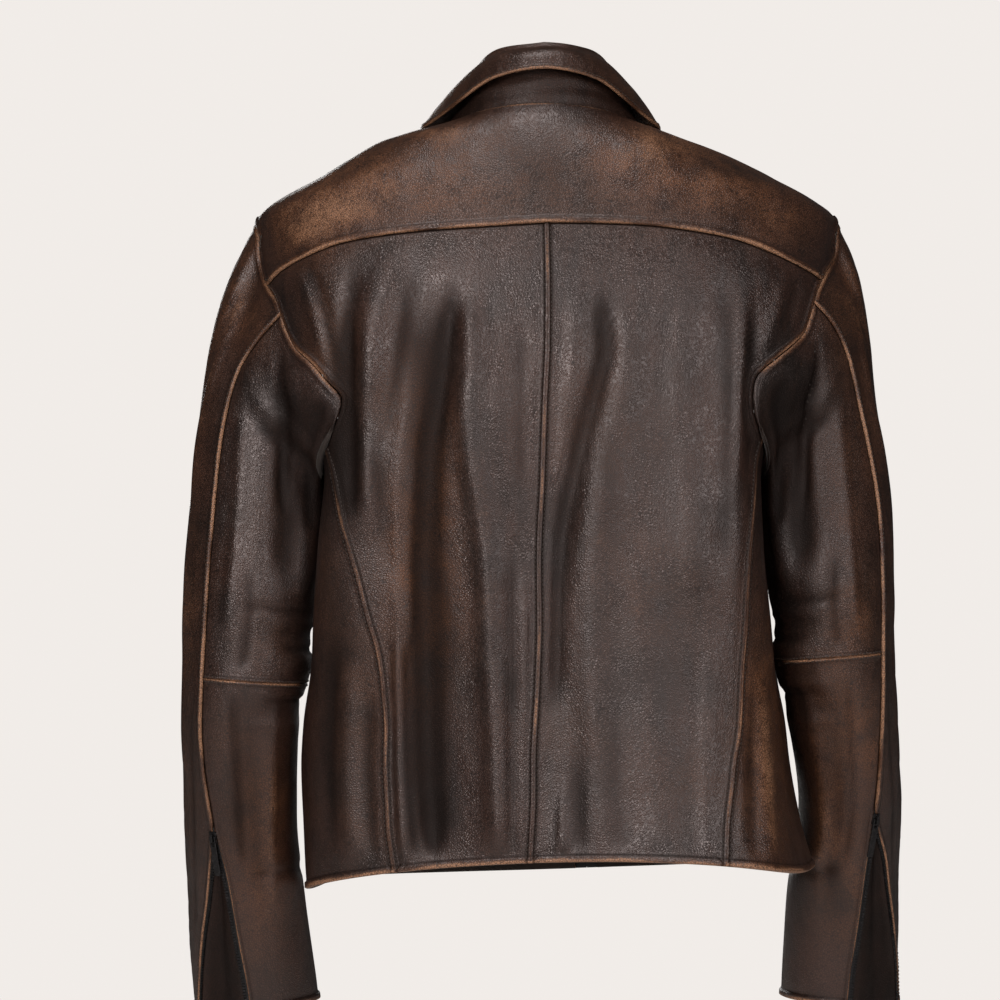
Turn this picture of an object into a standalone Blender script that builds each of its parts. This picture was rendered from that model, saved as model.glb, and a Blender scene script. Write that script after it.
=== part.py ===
"""Worn leather jacket with zipped cuffs, as flat-cut panels set on a draped form. Metres, +Z up.

The wearer faces -Y. The origin is the middle of the neck, where the shoulders hold the jacket up.
"""

from math import radians

import bmesh
import bpy
import numpy as np
from mathutils import Vector

WALL = 0.0016  # leather
SEAM_INSET = 0.00017  # each edge stands back by this, so seams are about 0.3 mm apart
MITRE = 0.0007  # the inner face of an edge stands back by this more, so bends don't collide
ZIP_HALF = 0.0105  # half the width of the front zip between the two fronts
TAPE = 0.0034  # cuff zip tape

# Rings of the body from hem to neck: v, z back, z side, z front, half width, depth back,
# depth front, middle x, twist in degrees, squareness, tilt
TORSO = (
    (0.00, -0.6325, -0.659, -0.664, 0.2240, 0.132, 0.120, -0.0170, 12, 0.085, -0.055),
    (0.07, -0.588, -0.605, -0.606, 0.2185, 0.128, 0.118, -0.0085, 10, 0.085, -0.030),
    (0.14, -0.535, -0.545, -0.546, 0.2150, 0.125, 0.116, -0.0025, 9, 0.085, -0.015),
    (0.21, -0.482, -0.488, -0.488, 0.2115, 0.124, 0.116, -0.0015, 7, 0.090, 0.0),
    (0.28, -0.428, -0.430, -0.430, 0.2060, 0.124, 0.117, -0.0005, 5, 0.105, 0.0),
    (0.36, -0.362, -0.362, -0.362, 0.1975, 0.124, 0.119, 0.0, 4, 0.120, 0.0),
    (0.44, -0.300, -0.300, -0.300, 0.1950, 0.126, 0.122, 0.0, 2, 0.110, 0.0),
    (0.52, -0.236, -0.240, -0.242, 0.2100, 0.127, 0.122, -0.001, 1, 0.090, 0.0),
    (0.59, -0.182, -0.192, -0.196, 0.2335, 0.125, 0.120, -0.002, 0, 0.075, 0.0),
    (0.65, -0.132, -0.150, -0.156, 0.2470, 0.121, 0.115, -0.003, 0, 0.060, 0.0),
    (0.71, -0.088, -0.112, -0.120, 0.2550, 0.114, 0.108, -0.003, 0, 0.035, 0.0),
    (0.76, -0.045, -0.076, -0.096, 0.2585, 0.102, 0.098, -0.003, 0, 0.010, 0.0),
    (0.82, -0.014, -0.038, -0.084, 0.2065, 0.091, 0.090, -0.002, 0, 0.0, 0.0),
    (0.90, 0.006, -0.004, -0.076, 0.1385, 0.082, 0.084, 0.005, 0, 0.0, 0.0),
    (1.00, 0.0240, 0.0110, -0.068, 0.0860, 0.071, 0.078, 0.0, 0, 0.0, 0.0),
)

# Sleeve rings from under the cap to the cuff: s, x, y, z, half width, half depth, tilt in degrees
SLEEVES = {
    "left": (
        (0.26, 0.2462, 0.004, -0.292, 0.0735, 0.0640, 35),
        (0.36, 0.2520, 0.010, -0.352, 0.0633, 0.0625, 17),
        (0.46, 0.2577, 0.015, -0.410, 0.0588, 0.0605, 6),
        (0.58, 0.2652, 0.015, -0.484, 0.0545, 0.0575, 4),
        (0.68, 0.2702, 0.006, -0.540, 0.0511, 0.0550, 0),
        (0.78, 0.2705, -0.010, -0.604, 0.0495, 0.0535, -4),
        (0.90, 0.2667, -0.036, -0.686, 0.0520, 0.0530, -4),
        (1.00, 0.2599, -0.062, -0.780, 0.0564, 0.0540, -4),
    ),
    "right": (
        (0.26, -0.2428, 0.004, -0.286, 0.0662, 0.0630, 35),
        (0.36, -0.2500, 0.008, -0.346, 0.0600, 0.0615, 17),
        (0.46, -0.2543, 0.012, -0.402, 0.0543, 0.0600, 6),
        (0.58, -0.2606, 0.004, -0.476, 0.0525, 0.0570, 4),
        (0.68, -0.2702, -0.016, -0.540, 0.0476, 0.0545, 0),
        (0.78, -0.2767, -0.042, -0.604, 0.0458, 0.0530, -3),
        (0.90, -0.2733, -0.070, -0.686, 0.0498, 0.0530, -3),
        (1.00, -0.2733, -0.094, -0.780, 0.0538, 0.0540, -3),
    ),
}
# Armhole: angle round the sleeve, then the body's u in degrees and v. 0 is outside, 90 back,
# 180 the armpit, 270 front. The back half follows the seen seam.
ARMHOLES = {
    "left": (
        (0, 93, 0.763), (18, 80, 0.740), (34, 81, 0.718), (48, 79, 0.690), (62, 67, 0.648), (76, 64, 0.619),
        (90, 60, 0.592), (104, 52, 0.567), (116, 47.5, 0.543), (128, 44, 0.523), (142, 48, 0.496),
        (156, 62, 0.465), (170, 79, 0.446), (180, 90, 0.440), (196, 106, 0.447), (214, 120, 0.470),
        (232, 127, 0.505), (250, 128, 0.548), (270, 125, 0.600), (292, 119, 0.655), (314, 111, 0.705),
        (338, 101, 0.744),
    ),
    "right": (
        (0, 93, 0.765), (18, 82, 0.745), (34, 82, 0.724), (48, 71, 0.690), (62, 65, 0.661), (76, 62.5, 0.632),
        (90, 61, 0.610), (104, 56, 0.593), (116, 49.5, 0.574), (128, 44, 0.547), (142, 47, 0.510),
        (156, 62, 0.470), (170, 79, 0.447), (180, 90, 0.440), (196, 106, 0.447), (214, 120, 0.470),
        (232, 127, 0.505), (250, 128, 0.548), (270, 125, 0.600), (292, 119, 0.655), (314, 111, 0.705),
        (338, 101, 0.745),
    ),
}
# Where seams meet the armhole, in its angle, and the columns between them
SHOULDER, YOKE, SLEEVE_BACK, PRINCESS, SIDE_FRONT, SLEEVE_FRONT = 0, 53, 69, 152, 232, 252
STEPS = {"cap": 5, "corner": 2, "back": 6, "armpit": 8, "low": 1, "front": 7}

# Seams of the body as seen, x and z from the hem up
CENTRE_BACK = ((0.0125, -0.634), (0.0090, -0.526), (0.0052, -0.374), (0.0030, -0.320), (-0.0015, -0.089))
YOKE_SEAM = (
    (0.2090, -0.1106), (0.1740, -0.0985), (0.1270, -0.0915), (0.0580, -0.0865), (-0.0015, -0.0830),
    (-0.0820, -0.0845), (-0.1350, -0.0905), (-0.1600, -0.0950), (-0.1980, -0.1075), (-0.2190, -0.1165),
)
PRINCESS_SEAM = {
    "left": ((0.1300, -0.638), (0.1355, -0.601), (0.1370, -0.527), (0.1395, -0.486), (0.1440, -0.453),
             (0.1525, -0.424), (0.1625, -0.385), (0.1740, -0.347)),
    "right": ((-0.1530, -0.630), (-0.1557, -0.596), (-0.1608, -0.555), (-0.1669, -0.514),
              (-0.1694, -0.466), (-0.1729, -0.4205), (-0.1755, -0.374), (-0.1790, -0.335)),
}
SIDE_ROWS, BACK_COLUMNS, SHOULDER_COLUMNS = 20, 10, 5
SIDE_TOP = 0.52  # v on the middle lines beside the top of the side panels
UPPER_ROWS, FOREARM_ROWS = 17, 12
ELBOW = {"left": 0.575, "right": 0.555}  # s of the elbow seam
# Seam angles on the sleeve against s: the back seam, then the two edges of the open cuff
BACK_SEAM = {
    "left": ((0.0, 69), (0.15, 57), (0.30, 52), (0.45, 50), (0.60, 51), (0.70, 54), (0.79, 64)),
    "right": ((0.0, 69), (0.15, 52), (0.30, 43), (0.45, 38), (0.58, 44), (0.68, 54), (0.77, 66)),
}
ZIP_TOP = {"left": 0.790, "right": 0.770}
OUTER_EDGE = {
    "left": ((0.0, 63.5), (0.08, 62), (0.3, 57), (0.5, 50), (0.72, 38), (0.85, 31), (1.0, 25)),
    "right": ((0.0, 65.5), (0.08, 63), (0.3, 47), (0.5, 37), (0.72, 24), (0.85, 14), (1.0, 10)),
}
INNER_EDGE = {
    "left": ((0.0, 64.5), (0.08, 68), (0.3, 75), (0.5, 79), (0.72, 83), (0.85, 86), (1.0, 88)),
    "right": ((0.0, 66.5), (0.08, 68), (0.3, 71), (0.5, 74), (0.72, 80), (0.85, 85), (1.0, 88)),
}
FRONT_SEAM = ((0.0, 252), (0.3, 256), (0.6, 258), (1.0, 258))

# Largest folds of the body: path of (x, z), half width, height. Seen ones first, then the same
# kind on the hidden front.
BACK_FOLDS = (
    (((0.171, -0.17), (0.172, -0.25), (0.172, -0.32)), 0.013, -0.0045),
    (((0.155, -0.16), (0.157, -0.26), (0.152, -0.34)), 0.014, 0.0040),
    (((0.106, -0.16), (0.098, -0.34), (0.092, -0.52), (0.088, -0.62)), 0.020, -0.0040),
    (((0.045, -0.22), (0.040, -0.40), (0.034, -0.62)), 0.026, 0.0045),
    (((0.123, -0.46), (0.120, -0.54), (0.116, -0.63)), 0.010, 0.0035),
    (((-0.166, -0.16), (-0.162, -0.25), (-0.160, -0.33)), 0.013, 0.0040),
    (((-0.100, -0.20), (-0.110, -0.40), (-0.116, -0.60)), 0.026, -0.0035),
    (((-0.050, -0.30), (-0.052, -0.46), (-0.050, -0.62)), 0.024, 0.0030),
)
# Where the arms press the sides in: z, y, depth, height, side (1 left, -1 right, 0 both)
ARM_DENTS = (
    (-0.310, 0.012, 0.0100, 0.045, 0), (-0.385, 0.014, 0.0105, 0.050, 0), (-0.455, 0.012, 0.0090, 0.042, 0),
    (-0.655, -0.055, 0.0170, 0.060, -1), (-0.335, 0.004, 0.0035, 0.035, 1),
)
FRONT_FOLDS = (
    (((0.120, -0.20), (0.112, -0.40), (0.104, -0.62)), 0.024, -0.0045),
    (((0.070, -0.28), (0.066, -0.46), (0.062, -0.64)), 0.024, 0.0040),
    (((-0.122, -0.20), (-0.114, -0.40), (-0.110, -0.62)), 0.024, -0.0045),
    (((-0.068, -0.28), (-0.070, -0.46), (-0.068, -0.64)), 0.024, 0.0040),
)
# Largest folds of a sleeve: path of (angle, s), half width in angle, height
SLEEVE_FOLDS = (
    (((98, 0.10), (112, 0.26), (118, 0.40)), 13, -0.0050),
    (((128, 0.12), (140, 0.30), (142, 0.44)), 12, 0.0040),
    (((20, 0.14), (24, 0.34), (22, 0.52)), 13, 0.0030),
    (((300, 0.14), (292, 0.34), (288, 0.50)), 16, -0.0040),
    (((100, 0.62), (108, 0.74), (112, 0.88)), 14, -0.0030),
)
ELBOW_FOLDS = (
    (0.50, 190, 70, 0.022, -0.0035), (0.545, 200, 80, 0.020, 0.0030), (0.615, 190, 80, 0.022, -0.0030),
)

MATERIALS = {
    "leather": ((0.042, 0.024, 0.016, 1.0), 0.0, 0.48),
    "zip_tape": ((0.012, 0.010, 0.009, 1.0), 0.0, 0.85),
    "zip_metal": ((0.16, 0.14, 0.12, 1.0), 1.0, 0.38),
}


def smooth(xs, ys, x):
    """Monotone cubic through the points xs, ys, at x; ys may hold several columns."""
    xs, ys, x = np.asarray(xs, float), np.asarray(ys, float), np.clip(np.asarray(x, float), xs[0], xs[-1])
    if ys.ndim == 1:
        return smooth(xs, ys[:, None], x)[..., 0]
    h = np.diff(xs)[:, None]
    d = np.diff(ys, axis=0) / h
    m = np.zeros_like(ys)
    w1, w2 = 2 * h[1:] + h[:-1], h[1:] + 2 * h[:-1]
    same = d[:-1] * d[1:] > 0
    safe = np.where(same, d[:-1] * d[1:], 1.0)
    below = w1 * np.where(same, d[1:], 1) + w2 * np.where(same, d[:-1], 1)
    m[1:-1] = np.where(same, (w1 + w2) * safe / below, 0)
    m[0], m[-1] = d[0], d[-1]
    i = np.clip(np.searchsorted(xs, x, side="right") - 1, 0, len(xs) - 2)
    t = ((x - xs[i]) / (xs[i + 1] - xs[i]))[..., None]
    step = (xs[i + 1] - xs[i])[..., None]
    return ((2 * t**3 - 3 * t**2 + 1) * ys[i] + (t**3 - 2 * t**2 + t) * step * m[i]
            + (3 * t**2 - 2 * t**3) * ys[i + 1] + (t**3 - t**2) * step * m[i + 1])


def curve(points, n):
    """n + 1 points along a smooth curve through the given ones, evenly by length."""
    points = np.asarray(points, float)
    along = np.concatenate([[0], np.cumsum(np.linalg.norm(np.diff(points, axis=0), axis=1))])
    return smooth(along, points, np.linspace(0, along[-1], n + 1))


def window(x, low, high, soft):
    """1 between low and high, falling to 0 over soft on both sides."""
    a = np.clip((x - low) / soft + 0.5, 0, 1)
    b = np.clip((high - x) / soft + 0.5, 0, 1)
    return a * a * (3 - 2 * a) * b * b * (3 - 2 * b)


def crease(p, q, path, width, height, soft):
    """Height of a fold that runs along q, its middle p given by the path's (p, q) pairs."""
    path = np.asarray(path, float)
    path = path[np.argsort(path[:, 1])]
    middle = smooth(path[:, 1], path[:, 0], q)
    return height * np.exp(-(((p - middle) / width) ** 2)) * window(q, path[0, 1], path[-1, 1], soft)


def torso_plain(u, v):
    """Point of the body at u radians round from the middle of the back and v from hem to neck."""
    u, v = np.broadcast_arrays(np.asarray(u, float), np.asarray(v, float))
    rings = np.array(TORSO)
    z_back, z_side, z_front, a, b_back, b_front, middle, twist, e, tilt = np.moveaxis(
        smooth(rings[:, 0], rings[:, 1:], v), -1, 0)
    c = np.cos(u)
    x = a * (np.sin(u) + e * np.sin(3 * u)) / (1 - e)
    y = np.where(c > 0, b_back, b_front) * (c - e * np.cos(3 * u)) / (1 - e)
    z = z_side + (z_back - z_side) * np.clip(c, 0, 1) ** 2 + (z_front - z_side) * np.clip(-c, 0, 1) ** 2
    t = np.radians(twist)
    x, y = x * np.cos(t) + y * np.sin(t), y * np.cos(t) - x * np.sin(t)
    return np.stack([middle + x, y, z + tilt * x], axis=-1)


def torso(u, v):
    """The body's outer face with its largest folds."""
    p = torso_plain(u, v)
    height = np.zeros(p.shape[:-1])
    c = np.broadcast_to(np.cos(u), height.shape)
    for folds, side in ((BACK_FOLDS, c), (FRONT_FOLDS, -c)):
        for path, width, high in folds:
            height = height + crease(p[..., 0], p[..., 2], path, width, high, 0.06) * np.clip(side * 4, 0, 1)
    for z, y, deep, high, which in ARM_DENTS:
        side = np.sin(u) * which if which else np.abs(np.sin(u))
        side = np.clip(side * 3 - 1.6, 0, 1)
        near = np.exp(-(((p[..., 2] - z) / high) ** 2) - ((p[..., 1] - y) / 0.045) ** 2)
        height = height - deep * side * near
    return p + height[..., None] * facing(torso_plain, u, v, 1)


def facing(surface, a, b, sign):
    """Unit normal of a surface, by differences."""
    h = 1e-4
    da = surface(a + h, b) - surface(a - h, b)
    db = surface(a, np.clip(b + h, 0, 1)) - surface(a, np.clip(b - h, 0, 1))
    n = np.cross(db, da) * sign
    return n / np.maximum(np.linalg.norm(n, axis=-1, keepdims=True), 1e-12)


def locate(x, z):
    """u, v of the body's point seen at x, z on the back half."""
    u, v = np.meshgrid(np.radians(np.linspace(-100, 100, 81)), np.linspace(0, 1, 81))
    p = torso_plain(u, v)
    best = np.unravel_index(np.argmin((p[..., 0] - x) ** 2 + (p[..., 2] - z) ** 2), u.shape)
    at = np.array([u[best], v[best]])
    for _ in range(12):
        here = torso_plain(at[0], at[1])[[0, 2]]
        du = (torso_plain(at[0] + 1e-4, at[1])[[0, 2]] - here) / 1e-4
        dv = (torso_plain(at[0], at[1] + 1e-4)[[0, 2]] - here) / 1e-4
        step = np.linalg.lstsq(np.stack([du, dv], axis=1), np.array([x, z]) - here, rcond=None)[0]
        at = at + np.clip(step, -0.05, 0.05)
        at[1] = min(max(at[1], 0.0), 1.0)
    return at


def armhole(side, angle):
    """u, v of the body at an angle round the armhole."""
    table = np.array(ARMHOLES[side], float)
    angle = np.mod(angle, 360)
    wrapped = np.concatenate([table[-3:] - [360, 0, 0], table, table[:3] + [360, 0, 0]])
    uv = smooth(wrapped[:, 0], wrapped[:, 1:], angle)
    sign = 1 if side == "left" else -1
    return sign * np.radians(uv[..., 0]), uv[..., 1]


def sleeve_plain(side, angle, s):
    """Point of a sleeve at an angle round it and s from the armhole to the cuff."""
    angle, s = np.broadcast_arrays(np.asarray(angle, float), np.asarray(s, float))
    sign = 1 if side == "left" else -1
    rings = np.array(SLEEVES[side])
    cap = rings[0, 0]

    def ring(at):
        x, y, z, wide, deep, tilt = np.moveaxis(smooth(rings[:, 0], rings[:, 1:], at), -1, 0)
        f, t = np.radians(angle), np.radians(tilt)
        out = wide * np.cos(f)
        return np.stack([x + sign * out * np.cos(t), y + deep * np.sin(f), z + out * np.sin(t)], axis=-1)

    low = ring(np.maximum(s, cap))
    hole = armhole(side, angle)
    away = facing(torso_plain, *hole, 1)
    end = ring(np.full_like(s, cap))
    run = (ring(np.full_like(s, cap + 0.01)) - end) / 0.01 * cap
    f = np.radians(angle)
    outer = (1 + np.cos(f)) / 2
    side_way, front_way = sign * (0.12 + 0.43 * outer), -0.22 * outer * np.sin(f)
    leave = np.stack([side_way, front_way, -0.95 + 0.10 * outer], axis=-1)
    leave = leave + away * (0.60 * (1 - outer))[..., None]
    rim = torso(*armhole(side, angle + 0.5)) - torso(*armhole(side, angle - 0.5))
    across = np.cross(rim, away) * sign
    across = across / np.linalg.norm(across, axis=-1, keepdims=True)
    start = torso(*hole) + away * (0.0010 * (1 - outer))[..., None] + across * 0.0004
    far = np.linalg.norm(end - start, axis=-1, keepdims=True)
    leave = leave * far * (0.8 + 0.3 * outer)[..., None] / np.linalg.norm(leave, axis=-1, keepdims=True)
    pace = np.linalg.norm(run, axis=-1, keepdims=True)
    run = run * np.minimum(pace, 1.1 * far) / pace
    t = np.clip(s / cap, 0, 1)[..., None]
    high = ((2 * t**3 - 3 * t**2 + 1) * start + (t**3 - 2 * t**2 + t) * leave
            + (3 * t**2 - 2 * t**3) * end + (t**3 - t**2) * run)
    return np.where((s < cap)[..., None], high, low)


def sleeve(side):
    """The sleeve's outer face with its largest folds, as a function of angle and s."""
    sign = 1 if side == "left" else -1

    def plain(angle, s):
        return sleeve_plain(side, angle, s)

    def surface(angle, s):
        angle, s = np.broadcast_arrays(np.asarray(angle, float), np.asarray(s, float))
        around = np.mod(angle, 360)
        height = np.zeros(angle.shape)
        for path, width, high in SLEEVE_FOLDS:
            height = height + crease(around, s, path, width, high, 0.08)
        for at, middle, reach, width, high in ELBOW_FOLDS:
            across = window(around, middle - reach, middle + reach, 60)
            height = height + high * across * np.exp(-(((s - at) / width) ** 2))
        height = height * np.clip(s / 0.08, 0, 1)
        return plain(angle, s) + height[..., None] * face(plain, angle, s)

    def face(of, angle, s):
        h = 1e-3
        da = of(angle + h * 100, s) - of(angle - h * 100, s)
        ds = of(angle, np.clip(s + h, 0, 1)) - of(angle, np.clip(s - h, 0, 1))
        n = np.cross(ds, da) * sign
        return n / np.maximum(np.linalg.norm(n, axis=-1, keepdims=True), 1e-12)

    surface.face = face
    return surface


def material(name):
    made = bpy.data.materials.get(name)
    if made is None:
        colour, metallic, roughness = MATERIALS[name]
        made = bpy.data.materials.new(name)
        made.use_nodes = True
        shader = made.node_tree.nodes["Principled BSDF"]
        shader.inputs["Base Color"].default_value = colour
        shader.inputs["Metallic"].default_value = metallic
        shader.inputs["Roughness"].default_value = roughness
    return made


def solid(name, verts, faces, slot):
    """A closed mesh object with its faces turned outward."""
    mesh = bpy.data.meshes.new(name)
    mesh.from_pydata([tuple(map(float, p)) for p in verts], [], faces)
    bm = bmesh.new()
    bm.from_mesh(mesh)
    bmesh.ops.recalc_face_normals(bm, faces=bm.faces)
    bm.to_mesh(mesh)
    bm.free()
    made = bpy.data.objects.new(name, mesh)
    bpy.context.scene.collection.objects.link(made)
    mesh.materials.append(material(slot))
    return made


def pull_edges(grid, distance):
    """Move the border rows and columns of a grid of points inward by a distance."""
    grid = grid.copy()
    for axis in (0, 1):
        g = np.moveaxis(grid, axis, 0)
        for edge, beside in ((0, 1), (-1, -2)):
            step = g[beside] - g[edge]
            far = np.linalg.norm(step, axis=-1, keepdims=True)
            g[edge] = g[edge] + step * np.minimum(distance / np.maximum(far, 1e-9), 0.45)
    return grid


def shell(name, outer, normals, slot, wall=WALL, inset=SEAM_INSET, mitre=MITRE):
    """A wall of cloth from a grid of outer points, closed at its edges."""
    outer = pull_edges(outer, inset)
    inner = pull_edges(outer - normals * wall, mitre)
    rows, columns = outer.shape[:2]
    verts = np.concatenate([outer.reshape(-1, 3), inner.reshape(-1, 3)])
    half = rows * columns
    faces = []
    for i in range(rows - 1):
        for j in range(columns - 1):
            a, d = i * columns + j, (i + 1) * columns + j
            faces.append((a, a + 1, d + 1, d))
            faces.append((half + d, half + d + 1, half + a + 1, half + a))
    border = [j for j in range(columns)]
    border += [i * columns + columns - 1 for i in range(1, rows)]
    border += [(rows - 1) * columns + j for j in range(columns - 2, -1, -1)]
    border += [i * columns for i in range(rows - 2, 0, -1)]
    for k, a in enumerate(border):
        b = border[(k + 1) % len(border)]
        faces.append((b, a, half + a, half + b))
    return solid(name, verts, faces, slot)


def coons(bottom, top, left, right, reach=1.0):
    """Grid of parameters between four edges; rows run from bottom to top.

    The higher the reach, the less of the grid follows the bends of the top edge.
    """
    s = np.linspace(0, 1, len(bottom))[None, :, None]
    t = np.linspace(0, 1, len(left))[:, None, None]
    low = bottom[None] - (1 - s) * bottom[0] - s * bottom[-1]
    high = top[None] - (1 - s) * top[0] - s * top[-1]
    return (1 - s) * left[:, None] + s * right[:, None] + (1 - t) * low + t**reach * high


def body_panel(name, bottom, top, left, right, slot="leather", reach=1.0):
    grid = coons(bottom, top, left, right, reach)
    u, v = grid[..., 0], np.clip(grid[..., 1], 0, 1)
    return shell(name, torso(u, v), facing(torso, u, v, 1), slot)


def line(a, b, n):
    t = np.linspace(0, 1, n + 1)[:, None]
    return np.asarray(a, float) * (1 - t) + np.asarray(b, float) * t


def chain(*parts):
    return np.concatenate([parts[0]] + [p[1:] for p in parts[1:]])


def armhole_line(side, first, last, n):
    u, v = armhole(side, np.linspace(first, last, n + 1))
    return np.stack([u, v], axis=-1)


def front_edge(v, offset):
    """u on the front where x is the offset from the front middle."""
    rings = np.array(TORSO)
    a, e = smooth(rings[:, 0], rings[:, 4], v), smooth(rings[:, 0], rings[:, 9], v)
    return np.pi - offset * (1 - e) / (a * (1 + 3 * e))


def seams():
    """Every seam of the body as points in u, v, shared by the panels on both its sides."""
    found = {}
    v = np.linspace(0, 1, SIDE_ROWS + 1)
    for side, sign in (("left", 1), ("right", -1)):
        low = [locate(x, z) for x, z in PRINCESS_SEAM[side]]
        low[0][1] = 0.0
        end = np.array(armhole(side, PRINCESS))
        found["princess", side] = curve(low + [end], SIDE_ROWS)
        end = np.array(armhole(side, SIDE_FRONT))
        start = np.array([sign * radians(112), 0.0])
        found["side_front", side] = np.stack([start[0] + (end[0] - start[0]) * v**1.5, end[1] * v], axis=-1)
        corner = np.array(armhole(side, YOKE))
        half = [locate(x, z) for x, z in YOKE_SEAM]
        half = [p for p in half if p[0] * sign > 0.03]
        half.sort(key=lambda p: abs(p[0]))
        middle = locate(-0.0015, -0.0830)
        found["yoke", side] = curve([middle] + half + [corner], BACK_COLUMNS)
        tip = np.array(armhole(side, SHOULDER))
        found["shoulder", side] = line(tip, (sign * radians(95), 1.0), SHOULDER_COLUMNS)
        neck = front_edge(1.0, ZIP_HALF)
        found["neck_front", side] = line((sign * radians(95), 1.0), (sign * neck, 1.0),
                                         BACK_COLUMNS - SHOULDER_COLUMNS)
        low_middle = (locate(0.0125, -0.634)[0], 0.0)
        found["hem_back", side] = line(low_middle, found["princess", side][0], BACK_COLUMNS)
        found["hem_side", side] = line(found["princess", side][0], start, STEPS["armpit"])
        found["hem_front", side] = line(start, (sign * front_edge(0.0, ZIP_HALF), 0.0), BACK_COLUMNS)
    middle = locate(-0.0015, -0.0830)
    centre = [locate(x, z) for x, z in CENTRE_BACK]
    centre[0][1] = 0.0
    centre[-1] = middle
    whole = curve(centre, 200)
    row = int(np.argmin(np.abs(whole[:, 1] - SIDE_TOP)))
    found["centre"] = chain(curve(whole[:row + 1], SIDE_ROWS),
                            curve(whole[row:], STEPS["back"] + STEPS["corner"]))
    return found


def build_body():
    seam = seams()
    v = chain(np.linspace(0, SIDE_TOP, SIDE_ROWS + 1),
              np.linspace(SIDE_TOP, 1, STEPS["low"] + STEPS["front"] + 1))
    for side, sign in (("left", 1), ("right", -1)):
        back_arm = chain(armhole_line(side, PRINCESS, SLEEVE_BACK, STEPS["back"]),
                         armhole_line(side, SLEEVE_BACK, YOKE, STEPS["corner"]))
        body_panel("back_" + side, seam["hem_back", side], seam["yoke", side], seam["centre"],
                   chain(seam["princess", side], back_arm))
        body_panel("side_" + side, seam["hem_side", side],
                   armhole_line(side, PRINCESS, SIDE_FRONT, STEPS["armpit"]),
                   seam["princess", side], seam["side_front", side])
        front_arm = chain(armhole_line(side, SIDE_FRONT, SLEEVE_FRONT, STEPS["low"]),
                          armhole_line(side, SLEEVE_FRONT, 360, STEPS["front"]))
        edge = np.stack([sign * front_edge(v, ZIP_HALF), v], axis=-1)
        top = chain(seam["shoulder", side], seam["neck_front", side])
        body_panel("front_" + side, seam["hem_front", side], top, chain(seam["side_front", side], front_arm),
                   edge, reach=4.0)
        middle = np.stack([sign * front_edge(v, 0.0003), v], axis=-1)
        body_panel("front_tape_" + side, line(edge[0], middle[0], 1), line(edge[-1], middle[-1], 1),
                   edge, middle, "zip_tape")
    bottom = chain(seam["yoke", "left"][::-1], seam["yoke", "right"])
    neck = line((radians(95), 1.0), (-radians(95), 1.0), 2 * (BACK_COLUMNS - SHOULDER_COLUMNS))
    top = chain(seam["shoulder", "left"], neck, seam["shoulder", "right"][::-1])
    body_panel("back_yoke", bottom, top, armhole_line("left", YOKE, SHOULDER, STEPS["cap"]),
               armhole_line("right", YOKE, SHOULDER, STEPS["cap"]))


def back_seam(side, s):
    table = np.array(BACK_SEAM[side])
    return smooth(table[:, 0], table[:, 1], s)


def cuff_edge(side, which, s):
    """Angle of one edge of the cuff's opening; t runs from the zip's top to the cuff."""
    table = np.array((OUTER_EDGE if which == "outer" else INNER_EDGE)[side])
    t = (np.asarray(s, float) - ZIP_TOP[side]) / (1 - ZIP_TOP[side])
    return smooth(table[:, 0], table[:, 1], t)


def sleeve_edge(side, which, s):
    s = np.asarray(s, float)
    return np.where(s < ZIP_TOP[side], back_seam(side, s), cuff_edge(side, which, s))


def sleeve_panel(side, name, grid, slot="leather", recess=0.0, wall=WALL):
    surface = sleeve(side)
    angle, s = grid[..., 0], np.clip(grid[..., 1], 0, 1)
    normals = surface.face(surface, angle, s)
    return shell(name, surface(angle, s) - normals * np.asarray(recess)[..., None], normals, slot, wall)


def build_sleeve(side):
    top_s = ZIP_TOP[side]
    upper = np.linspace(0, ELBOW[side], UPPER_ROWS + 1)
    above = np.linspace(ELBOW[side], top_s, FOREARM_ROWS // 3 + 1)
    below = np.linspace(top_s, 1, FOREARM_ROWS - FOREARM_ROWS // 3 + 1)
    lower = np.concatenate([above, below[1:]])
    whole = np.concatenate([upper, lower[1:]])
    table = np.array(FRONT_SEAM)

    def front_seam(s):
        return smooth(table[:, 0], table[:, 1], s)

    cap = np.concatenate([np.linspace(SLEEVE_FRONT, 360, STEPS["front"] + 1),
                          np.linspace(360 + SHOULDER, 360 + YOKE, STEPS["cap"] + 1)[1:],
                          np.linspace(360 + YOKE, 360 + SLEEVE_BACK, STEPS["corner"] + 1)[1:]])
    low = np.concatenate([np.linspace(SLEEVE_BACK, PRINCESS, STEPS["back"] + 1),
                          np.linspace(PRINCESS, SIDE_FRONT, STEPS["armpit"] + 1)[1:],
                          np.linspace(SIDE_FRONT, SLEEVE_FRONT, STEPS["low"] + 1)[1:]])

    def strip(s, first, last, start):
        """Columns keep the armhole's spacing at the top and even out below it."""
        share = (start - start[0]) / (start[-1] - start[0])
        even = np.linspace(0, 1, len(start))
        mix = np.clip(s / 0.3, 0, 1)[:, None]
        part = share[None] * (1 - mix) + even[None] * mix
        angle = first[:, None] * (1 - part) + last[:, None] * part
        return np.stack([angle, np.broadcast_to(s[:, None], angle.shape)], axis=-1)

    sleeve_panel(side, "sleeve_top_" + side,
                 strip(whole, front_seam(whole), 360 + sleeve_edge(side, "outer", whole), cap))
    sleeve_panel(side, "sleeve_under_" + side,
                 strip(upper, sleeve_edge(side, "inner", upper), front_seam(upper), low))
    sleeve_panel(side, "forearm_" + side,
                 strip(lower, sleeve_edge(side, "inner", lower), front_seam(lower), low))
    build_cuff_zip(side, below)


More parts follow.
